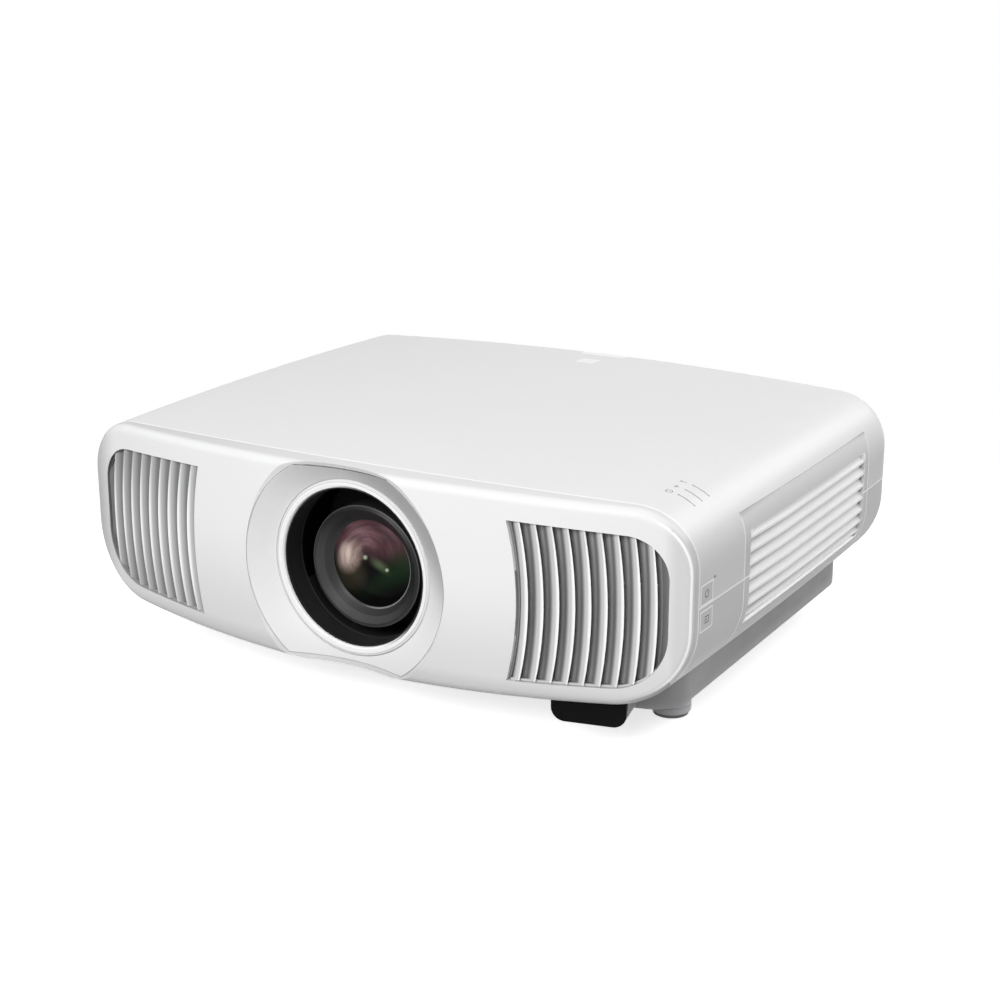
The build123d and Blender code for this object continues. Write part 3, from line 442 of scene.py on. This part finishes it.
def slatShine(graph):
    # 1 on the sill of the vent, below its lowest slat, and a little on the noses of the slats, where a
    # painted highlight glows in place of light.
    look = ventLook
    x, y, z = graph.axes()
    midY, halfY = middleHalf(case["ventY"])
    along = (y - midY).absolute().band(halfY, halfY - look["sillEnd"])
    sill = lineMark(z, case["ventZ"][0], look["sillEdges"]) * x.band(*look["sillX"]) * along
    nose = insideVent(graph) * slatDepth(graph).band(*look["noseDepth"])
    return sill.most(nose * look["noseShare"])


def slatLit(graph, colour):
    # The slats in the vent are painted whiter than the frame round them, as painted light on their
    # upturned faces; round them the sides get their painted shade.
    return graph.mix(insideVent(graph), sideFall(graph, colour), grey(ventLook["slatTone"]))


windowLook = {"backY": (0.197, 0.212), "backMix": (0.8, 0.70)}


def windowFall(graph, colour):
    # Painted shade: the strip is brightest where it starts on the top and greys as it turns down to the
    # back.
    (y,) = graph.axes("y")
    return graph.fade(colour, y.band(*windowLook["backY"]), *windowLook["backMix"])


def caseWhite(settings):
    # Flecked white with soft clouds and a fine grain. Painted highlights on lines and shines, painted
    # shade and printed signs are laid over it.
    graph = Finish(settings["name"], Specular_IOR_Level=settings["gloss"])
    shade, tint = settings["shade"], settings["tint"]
    fleck = graph.noise(settings["fleckScale"], 1.0).band(*settings["fleckBand"])
    cloud = graph.noise(settings["cloudScale"], 3.0).band(*settings["cloudBand"])
    colour = graph.mix(fleck, grey(shade - settings["fleck"], tint), grey(shade, tint))
    colour = graph.fade(colour, cloud, settings["cloudShare"], shade + settings["cloudLift"])
    if settings["paint"]:
        colour = settings["paint"](graph, colour)
    glow = None
    # Seam lines and shines are painted highlights.
    if settings["seam"]:
        lines = seamHighlight(graph, settings["seam"], settings["onPanel"])
        colour = graph.fade(colour, lines, *settings["edgeMix"])
        glow = lines * settings["seamShare"]
    if settings["shine"]:
        edge = settings["shine"](graph)
        colour = graph.fade(colour, edge, *settings["edgeMix"])
        glow = edge if glow is None else glow.most(edge)
    # The painted highlights also glow faintly, though the case is no lamp.
    if glow is not None:
        graph.link("Emission Color", graph.mix(glow, grey(0.0), grey(1.0)))
        graph.shader.inputs["Emission Strength"].default_value = settings["shineStrength"]
    # Painted shade, in steps, deeper into recesses.
    if settings["shadeIn"]:
        measure, steps = settings["shadeIn"]
        depth = measure(graph)
        for near, far, deepTone in steps:
            colour = graph.mix(depth.band(near, far), colour, grey(deepTone))
    if settings["overPaint"]:
        colour = settings["overPaint"](graph, colour)
    if settings["sign"]:
        colour = graph.fade(colour, settings["sign"](*graph.axes()), *settings["signMix"])
    graph.link("Base Color", colour)
    cloudRough, fleckRough = settings["roughGain"]
    graph.link("Roughness", cloud * cloudRough + fleck * fleckRough + settings["roughness"])
    graph.bump(graph.noise(settings["grainScale"]), settings["grain"])
    return graph.material


def setMaterial(material, *names):
    for name in names:
        slots = nodes[name].data.materials
        slots.clear()
        slots.append(material)


white = {
    "shade": 0.82, "tint": (0.995, 0.995, 1.0), "gloss": 0.12,
    "fleck": 0.035, "fleckScale": 1500.0, "fleckBand": (0.40, 0.66),
    "cloudScale": 9.0, "cloudBand": (0.3, 0.7), "cloudShare": 0.3, "cloudLift": 0.015,
    "roughGain": (0.05, 0.06), "grainScale": 2600.0,
    "seam": 0.0009, "onPanel": False, "seamShare": 1.0, "edgeMix": (0.85, 0.98),
    "shine": None, "shineStrength": 0.08, "sign": None, "signMix": (0.9, 0.10),
    "paint": None, "shadeIn": None, "overPaint": None,
}

caseShell = dict(white, name="pearl_white", roughness=0.40, grain=0.10, paint=sideFall)
setMaterial(caseWhite(caseShell), "lower_case")

filterShell = dict(caseShell, name="filter_white", paint=slatLit)
# A glowing painted highlight on the sill and slat noses, and painted shade deeper in the vent.
filterShell.update(shine=slatShine, shineStrength=0.50, seamShare=0.16)
filterShell.update(shadeIn=(slatDepth, ((0.0044, 0.0072, 0.54), (0.0066, 0.0096, 0.22))))
setMaterial(caseWhite(filterShell), "filter_cover")

coverShell = dict(caseShell, name="cover_white", sign=topSigns, roughness=0.36, gloss=0.40)
setMaterial(caseWhite(coverShell), "top_cover")

powerShell = dict(caseShell, name="power_key_white", sign=powerKeySign)
setMaterial(caseWhite(powerShell), "power_button")

sourceShell = dict(caseShell, name="source_key_white", sign=sourceKeySign)
setMaterial(caseWhite(sourceShell), "source_button")

frontShell = dict(white, name="front_white", roughness=0.28, grain=0.04, shade=0.84, fleck=0.015)
frontShell.update(onPanel=True, paint=frontFall, shine=cornerShine)
setMaterial(caseWhite(frontShell), "front_panel")

leftGrille = dict(white, name="left_grille_white", roughness=0.36, grain=0.04, shade=0.98, fleck=0.01)
leftGrille.update(seam=0.0, overPaint=grilleShade)
# Painted shade deepens behind the louvre noses.
leftGrille.update(shadeIn=(faceDepth, ((0.0006, 0.0022, 0.54), (0.0018, 0.0047, 0.22))))
setMaterial(caseWhite(leftGrille), "grille_left")

rightGrille = dict(leftGrille, name="right_grille_white")
# The right louvres are painted darker behind their noses and lighter again at the deepest, as painted
# shade and painted bounced light.
rightSteps = ((0.0011, 0.0024, 0.63), (0.0032, 0.0058, 0.165), (0.0061, 0.0083, 0.50))
rightGrille.update(shadeIn=(faceDepth, rightSteps))
setMaterial(caseWhite(rightGrille), "grille_right")

dishShell = dict(white, name="dish_satin", roughness=0.34, grain=0.05, shade=0.80, fleck=0.01)
dishShell.update(seam=0.0, paint=dishFall)
setMaterial(caseWhite(dishShell), "lens_bezel")

lipShell = dict(white, name="lip_white", roughness=0.30, grain=0.01, shade=0.86, fleck=0.005)
lipShell.update(seam=0.0, paint=lipPaint, shine=lipShine, shineStrength=0.18)
setMaterial(caseWhite(lipShell), "lens_lip")

plateShell = dict(lipShell, name="plate_white", roughness=0.55, shade=0.97, gloss=0.15)
plateShell.update(paint=None, shine=None)
setMaterial(caseWhite(plateShell), "top_plate")

windowShell = dict(plateShell, name="window_white", roughness=0.30, paint=windowFall)
setMaterial(caseWhite(windowShell), "rear_window")
print("white pieces set")


barrelLook = {
    "darkUp": 0.9, "darkX": 0.5, "darkSide": (-0.030, 0.018), "darkMix": (0.92, 0.010),
    "coneReach": (0.0388, 0.0380), "coneMix": (0.6, 0.012),
    "rimReach": 0.0336, "rimEdges": (0.0007, 0.0003), "rimX": 0.9, "rimUp": 0.5,
    "rimSide": (0.006, 0.022), "rimMix": (0.8, 0.26),
    "edgeReach": 0.0455, "edgeEdges": (0.0006, 0.0002), "edgeMix": (0.5, 0.11),
}


def barrelPaint(graph, colour):
    # Front ring of the barrel: painted shade darkens it high on its right, so it is lighter low on its
    # left, with a dark inner cone, a painted highlight on a thin rim beside the glass and a fine line
    # round its outer edge.
    look = barrelLook
    reach, x, up = lensPolar(graph, case["lensRest"])
    high = (up * look["darkUp"] + x * look["darkX"]).band(*look["darkSide"])
    colour = graph.fade(colour, high, *look["darkMix"])
    colour = graph.fade(colour, reach.band(*look["coneReach"]), *look["coneMix"])
    right = (x * look["rimX"] - up * look["rimUp"]).band(*look["rimSide"])
    rim = lineMark(reach, look["rimReach"], look["rimEdges"]) * right
    colour = graph.fade(colour, rim, *look["rimMix"])
    return graph.fade(colour, lineMark(reach, look["edgeReach"], look["edgeEdges"]), *look["edgeMix"])


hoodLook = {
    "soft": 0.0004, "lowLean": 0.42, "lowShare": 0.6, "deepTone": 0.0012,
    "nearAhead": 0.0150, "nearEdges": (0.0006, 0.0002), "nearMix": (0.5, 0.008),
    "lineEdges": (0.0009, 0.0003), "lineMix": (0.8, 0.075),
}


def hoodPaint(graph, colour):
    # A dark band behind the lip with two fine edges: a dark line, and a painted highlight where the band
    # ends.
    # Deeper in, painted shade turns the wall near black, save the lower wall, which still catches light.
    look = hoodLook
    x, y, z = graph.axes()
    depth = y - case["frontY"]
    edge, soft = case["hoodEdge"], look["soft"]
    lower = (z - case["lensHeight"] + x.absolute() * look["lowLean"]).band(soft, -soft)
    deep = depth.band(edge - soft, edge + soft) * (1.0 - lower * look["lowShare"])
    colour = graph.mix(deep, colour, grey(look["deepTone"]))
    near = lineMark(depth, edge - look["nearAhead"], look["nearEdges"])
    colour = graph.fade(colour, near, *look["nearMix"])
    return graph.fade(colour, lineMark(depth, edge, look["lineEdges"]), *look["lineMix"])


baseLook = {
    "frontY": (0.02, -0.14), "frontShare": 0.30, "lowZ": (0.036, 0.026), "lowShare": 0.4, "tone": 0.62,
}


def baseFall(graph, colour):
    # Painted light: the base pan is paler towards the front and along its lower edge.
    look = baseLook
    y, z = graph.axes("yz")
    front = y.band(*look["frontY"]) * look["frontShare"]
    low = z.band(*look["lowZ"]) * look["lowShare"]
    return graph.mix(front.most(low), colour, grey(look["tone"]))


lampLook = {
    "leftX": (0.2275, 0.2268), "rightX": (0.2378, 0.2385), "endMix": (0.75, 0.12),
    "keyLampZ": (0.160, 0.155), "keyLampTone": 0.012,
}


def lampPaint(graph, colour):
    # The light bars are pale with dark ends. The lamp beside the keys is dark.
    look = lampLook
    x, z = graph.axes("xz")
    ends = x.band(*look["leftX"]).most(x.band(*look["rightX"]))
    colour = graph.fade(colour, ends, *look["endMix"])
    return graph.mix(z.band(*look["keyLampZ"]), colour, grey(look["keyLampTone"]))


def clouded(graph, settings):
    # A clouded tone with a fine grain, for plain plastics and metals.
    cloud = graph.noise(settings["cloudScale"], settings["cloudDetail"], settings["stretch"])
    cloud = cloud.band(*settings["cloudBand"])
    low, high = [grey(settings["shade"] * share, settings["tint"]) for share in settings["shadeSpread"]]
    colour = graph.mix(cloud, low, high)
    if settings["paint"]:
        colour = settings["paint"](graph, colour)
    graph.link("Base Color", colour)
    roughSpread = settings["roughSpread"]
    graph.link("Roughness", cloud * roughSpread + (settings["roughness"] - roughSpread / 2))
    graph.bump(graph.noise(settings["grainScale"], stretch=settings["stretch"]), settings["grain"])
    return graph.material


def plainPlastic(settings):
    return clouded(Finish(settings["name"], Specular_IOR_Level=settings["gloss"]), settings)


def metal(settings):
    return clouded(Finish(settings["name"], Metallic=1.0), settings)


dark = {
    "tint": (1.0, 1.0, 1.02), "gloss": 0.2, "paint": None,
    "cloudScale": 40.0, "cloudDetail": 3.0, "cloudBand": (0.3, 0.75), "stretch": (1.0, 1.0, 1.0),
    "shadeSpread": (0.86, 1.08), "roughSpread": 0.08, "grainScale": 2200.0, "grain": 0.06,
}

hoodBlack = dict(dark, name="hood_black", shade=0.026, roughness=0.55, paint=hoodPaint, gloss=0.08)
setMaterial(plainPlastic(hoodBlack), "lens_hood")

innerBlack = dict(dark, name="inner_black", shade=0.010, roughness=0.60, grain=0.10)
innerNodes = ["dust_shield", "exhaust_frames", "intake_frame", "fan_ducts", "exhaust_rotor_left"]
innerNodes += ["exhaust_rotor_right", "intake_rotor"]
setMaterial(plainPlastic(innerBlack), *innerNodes)

socketBlack = dict(dark, name="socket_black", shade=0.022, roughness=0.48, grain=0.10)
setMaterial(plainPlastic(socketBlack), "rear_panel", "ac_inlet", "trigger_jack")

barrelBlack = dict(dark, name="barrel_black", shade=0.056, roughness=0.42, paint=barrelPaint)
setMaterial(plainPlastic(barrelBlack), "focus_barrel", "lens_barrel", "zoom_ring")

windowBlack = dict(dark, name="window_black", shade=0.004, roughness=0.12, grain=0.0, gloss=0.04)
setMaterial(plainPlastic(windowBlack), "receiver_window")

housingGrey = dict(dark, name="housing_grey", shade=0.30, roughness=0.50, grain=0.10)
setMaterial(plainPlastic(housingGrey), "receiver_housing")

baseGrey = dict(dark, name="base_grey", shade=0.36, roughness=0.50, grain=0.10, paint=baseFall)
setMaterial(plainPlastic(baseGrey), "base_pan")

footGrey = dict(dark, name="foot_grey", shade=0.86, roughness=0.42)
setMaterial(plainPlastic(footGrey), "foot_screw_left", "foot_screw_right")

soleRubber = dict(dark, name="sole_rubber", shade=0.32, roughness=0.70, grain=0.15)
setMaterial(plainPlastic(soleRubber), "foot_sole_left", "foot_sole_right", "rear_feet")

boardGreen = dict(dark, name="board_green", shade=0.10, tint=(0.25, 1.0, 0.45), roughness=0.35)
setMaterial(plainPlastic(boardGreen), "switch_board", "power_board", "main_board")

pipeClear = dict(dark, name="light_pipe", shade=0.46, roughness=0.20, grain=0.0, paint=lampPaint)
setMaterial(plainPlastic(pipeClear), "status_lights")

filterCloth = dict(dark, name="filter_cloth", shade=0.62, roughness=0.9, grain=0.3, gloss=0.1)
setMaterial(plainPlastic(filterCloth), "filter_media")

frameGrey = dict(dark, name="filter_frame_grey", shade=0.70, roughness=0.55, grain=0.10)
setMaterial(plainPlastic(frameGrey), "filter_frame")
print("dark and grey pieces set")

metalBase = {
    "tint": (1.0, 1.0, 1.0), "paint": None,
    "cloudScale": 30.0, "cloudDetail": 4.0, "cloudBand": (0.3, 0.75), "stretch": (1.0, 1.0, 1.0),
    "shadeSpread": (0.85, 1.0), "roughSpread": 0.12, "grainScale": 1200.0, "grain": 0.05,
}

castMetal = dict(metalBase, name="cast_aluminium", shade=0.62, roughness=0.48, grain=0.2)
castNodes = ("lens_mount", "lift_plate", "cross_plate", "optical_engine", "laser_module", "heat_sink")
setMaterial(metal(castMetal), *castNodes)

steelMetal = dict(metalBase, name="ground_steel", shade=0.60, roughness=0.25, stretch=(1.0, 1.0, 6.0))
steelNodes = ["lift_rods", "cross_rods", "case_screws", "zoom_motor"]
steelNodes += ["hdmi_ports", "usb_port", "lan_port", "serial_port"]
setMaterial(metal(steelMetal), *steelNodes)

brassMetal = dict(metalBase, name="turned_brass", shade=0.75, tint=(1.0, 0.78, 0.42), roughness=0.28)
setMaterial(metal(brassMetal), "mount_inserts", "zoom_pinion", "foot_nuts")
print("metal pieces set")


# Light painted on the coated glass. Places and sizes are in glass radii.
glassLook = {
    "roughness": 0.18, "gloss": 0.02, "deepTone": 0.004,
    "warpScale": 38.0, "warpShare": 0.5,
    "arcMiddle": (-0.10, 0.16), "arcRings": 6.5, "arcWarp": 2.4, "arcTurn": 0.9,
    "arcDetail": 4.0, "arcBand": (0.33, 0.67),
}
glassRose = {
    "lean": 0.20, "warp": 0.5, "rise": (-0.10, 0.75), "end": (1.45, 0.85),
    "colour": (0.120, 0.058, 0.070, 1.0), "arcShare": 0.72, "arcColour": (0.020, 0.010, 0.012, 1.0),
}
glassCrest = {
    "lean": 0.35, "middle": 0.05, "edges": (0.55, 0.0), "rise": (0.30, 0.62), "end": (1.15, 0.75),
    "arcs": 0.5, "share": 0.45, "colour": (0.30, 0.18, 0.20, 1.0),
}
glassGreen = {
    "leanU": 0.80, "leanV": 0.75, "warp": 0.7, "start": (0.10, 0.75), "endLean": 0.3, "end": (1.0, 0.35),
    "share": 0.75, "colour": (0.012, 0.032, 0.013, 1.0),
}
glassBrown = {
    "middle": (-0.55, -0.30), "stretch": (3.0, 3.0), "edges": (1.0, 0.0),
    "share": 0.55, "colour": (0.044, 0.040, 0.024, 1.0),
}
glassGlow = {
    "middle": (-0.60, 0.22), "lean": 0.12, "stretch": (6.5, 4.2), "warp": 0.8, "edges": (1.5, -0.15),
    "power": 1.5, "share": 0.95, "arcs": 0.45, "colour": (0.46, 0.34, 0.30, 1.0),
}
glassCore = {
    "middle": (-0.66, 0.24), "stretch": (26.0, 9.0), "edges": (1.6, -0.2),
    "share": 0.55, "arcs": 0.3, "colour": (0.78, 0.63, 0.56, 1.0),
}
glassTrail = {
    "lean": 0.55, "rise": 0.10, "warp": 0.3, "edges": (0.22, 0.0), "middle": 0.26, "ends": (0.34, 0.0),
    "share": 0.55, "colour": (0.13, 0.17, 0.10, 1.0),
}
glassSpots = {
    "spots": ((-0.13, 0.17, 0.046, 0.7), (0.45, -0.16, 0.036, 0.9)),  # place, radius and share of each
    "soft": 0.9, "colour": (0.50, 0.58, 0.42, 1.0),
}


def ovalRise(u, v, middle, stretch):
    # 0 at the middle of an oval, and more with the square of the distance from it.
    offU, offV = u - middle[0], v - middle[1]
    return offU * offU * stretch[0] + offV * offV * stretch[1]


def glassCoated(settings):
    # Coated glass with painted reflections: rose arcs above, a pale soft glow to the left, green to the
    # lower right, dark below.
    # The coordinates run along the camera's axes, in glass radii from the middle of the glass.
    look = glassLook
    graph = Finish(settings["name"], Roughness=look["roughness"], Specular_IOR_Level=look["gloss"])
    perRadius = 1.0 / settings["size"]
    u, v = [graph.along(settings["middle"], camera[axis]) * perRadius for axis in ("right", "up")]
    warp = (graph.noise(look["warpScale"]) - 0.5) * look["warpShare"]
    arcU, arcV = u - look["arcMiddle"][0], v - look["arcMiddle"][1]
    rings = radial(arcU, arcV) * look["arcRings"] + warp * look["arcWarp"]
    sweep = graph.make("ShaderNodeCombineXYZ", (rings, arcU.math("ARCTAN2", arcV) * look["arcTurn"], 0.0))
    inputs = {"Vector": sweep, "Scale": 1.0, "Detail": look["arcDetail"]}
    streak = graph.make("ShaderNodeTexNoise", inputs).band(*look["arcBand"])

    look = glassRose
    rise = v + u * look["lean"] + warp * look["warp"]
    rose = rise.band(*look["rise"]) * rise.band(*look["end"])
    colour = graph.mix(rose, grey(glassLook["deepTone"]), look["colour"])
    colour = graph.mix(rose * streak * look["arcShare"], colour, look["arcColour"])

    look = glassCrest
    crest = lineMark(u + v * look["lean"], look["middle"], look["edges"])
    crest = crest * v.band(*look["rise"]) * rise.band(*look["end"])
    colour = graph.mix(crest * (1.0 - streak * look["arcs"]) * look["share"], colour, look["colour"])

    look = glassGreen
    low = (u * look["leanU"] - v * look["leanV"] + warp * look["warp"]).band(*look["start"])
    low = low * (u * look["endLean"] - v).band(*look["end"])
    colour = graph.mix(low * look["share"], colour, look["colour"])

    look = glassBrown
    brown = ovalRise(u, v, look["middle"], look["stretch"]).band(*look["edges"])
    colour = graph.mix(brown * look["share"], colour, look["colour"])

    look = glassGlow
    glow = ovalRise(u - v * look["lean"], v, look["middle"], look["stretch"]) + warp * look["warp"]
    glow = glow.band(*look["edges"]).math("POWER", look["power"])
    colour = graph.mix(glow * (look["share"] - streak * look["arcs"]), colour, look["colour"])

    look = glassCore
    core = (ovalRise(u, v, look["middle"], look["stretch"]) + warp).band(*look["edges"])
    colour = graph.mix(core * (look["share"] - streak * look["arcs"]), colour, look["colour"])

    look = glassTrail
    trail = lineMark(v + u * look["lean"] + warp * look["warp"], look["rise"], look["edges"])
    trail = trail * lineMark(u, look["middle"], look["ends"])
    colour = graph.mix(trail * look["share"], colour, look["colour"])

    # Small painted highlights.
    look = glassSpots
    for spotU, spotV, radius, share in look["spots"]:
        spot = discMark(u - spotU, v - spotV, radius, radius * look["soft"])
        colour = graph.mix(spot * share, colour, look["colour"])
    graph.link("Base Color", colour)
    return graph.material


frontGlass = {"name": "coated_glass", "middle": (0.0046, -0.1913, 0.1107), "size": 0.0275}
setMaterial(glassCoated(frontGlass), "front_lens")

# The inner glass gets the same painted reflections.
rearGlass = {"name": "clear_block", "middle": (0.0, 0.0, 0.1115), "size": 0.03}
setMaterial(glassCoated(rearGlass), "rear_lens", "prism_block")
print("glass pieces set")


def addAimed(name, data, place, aim):
    item = bpy.data.objects.new(name, data)
    item.location = place
    item.rotation_mode = "QUATERNION"
    item.rotation_quaternion = (Vector(aim) - Vector(place)).to_track_quat("-Z", "Y")
    bpy.context.collection.objects.link(item)
    return item


def addArea(name, place, aim, size, power):
    data = bpy.data.lights.new(name, "AREA")
    data.shape = "RECTANGLE"
    data.size, data.size_y = size
    data.energy = power
    addAimed(name, data, place, aim)


def addFloor(settings):
    # White to the camera with a soft shadow by the part, darker to the light that bounces off it.
    reach = settings["reach"]
    mesh = bpy.data.meshes.new("floor")
    corners = [(-reach, -reach, 0.0), (reach, -reach, 0.0), (reach, reach, 0.0), (-reach, reach, 0.0)]
    mesh.from_pydata(corners, [], [(0, 1, 2, 3)])
    floor = bpy.data.objects.new("floor", mesh)
    bpy.context.collection.objects.link(floor)
    fixed = {"Roughness": settings["roughness"], "Specular_IOR_Level": 0.0}
    graph = Finish("floor_white", Emission_Color=grey(1.0), Emission_Strength=settings["glow"], **fixed)
    low, high = [grey(shade) for shade in settings["shades"]]
    graph.link("Base Color", graph.mix(graph.noise(settings["cloudScale"]), low, high))
    away = radial(*graph.axes("xy")).band(settings["near"], settings["far"])
    glow = graph.make("ShaderNodeEmission", {"Color": grey(1.0), "Strength": 1.0})
    bounce = graph.make("ShaderNodeBsdfDiffuse", {"Color": grey(settings["bounce"])})
    base = Wire(graph, graph.shader.outputs["BSDF"])
    backdrop = graph.make("ShaderNodeMixShader", (away, base, glow))
    graph.show(graph.make("ShaderNodeMixShader", (graph.seen(), bounce, backdrop)), "Material Output")
    mesh.materials.append(graph.material)


def setWorld(settings):
    # White where it is seen, and a weaker light on the part.
    world = bpy.data.worlds.new("studio")
    bpy.context.scene.world = world
    world.use_nodes = True
    graph = Graph(world.node_tree)
    background = graph.tree.nodes["Background"]
    background.inputs["Color"].default_value = grey(1.0)
    background.inputs["Strength"].default_value = settings["light"]
    lit = Wire(graph, background.outputs["Background"])
    shown = graph.make("ShaderNodeBackground", {"Color": grey(1.0), "Strength": settings["shown"]})
    graph.show(graph.make("ShaderNodeMixShader", (graph.seen(), lit, shown)), "World Output")


def addCamera():
    data = bpy.data.cameras.new("photo_camera")
    data.lens = camera["lens"]
    data.sensor_width = camera["sensor"]
    data.clip_start, data.clip_end = camera["clip"]
    bpy.context.scene.camera = addAimed("photo_camera", data, camera["eye"], camera["target"])


setWorld({"light": 0.21, "shown": 1.0})
floorLook = {"reach": 30.0, "shades": (0.92, 0.94), "cloudScale": 2.0, "roughness": 0.9}
floorLook.update(near=0.35, far=0.75, glow=0.70, bounce=0.42)
addFloor(floorLook)

# Each lamp has its place, what it aims at, its two sizes and its power.
lamps = {
    "key_front": ((0.15, -1.9, 1.15), (0.0, -0.1, 0.1), (1.4, 0.8), 36.0),
    "back_soft": ((1.2, 1.6, 1.2), (0.2, 0.1, 0.17), (1.6, 1.0), 21.0),
    "top_soft": ((0.2, 0.2, 1.8), (0.1, 0.0, 0.15), (1.8, 1.4), 7.0),
    "side_fill": ((2.2, 0.0, 0.9), (0.2, 0.0, 0.1), (1.6, 1.2), 1.6),
}
for name, lamp in lamps.items():
    addArea(name, *lamp)
addCamera()
bpy.context.scene.view_settings.view_transform = "Standard"
print("stage set")
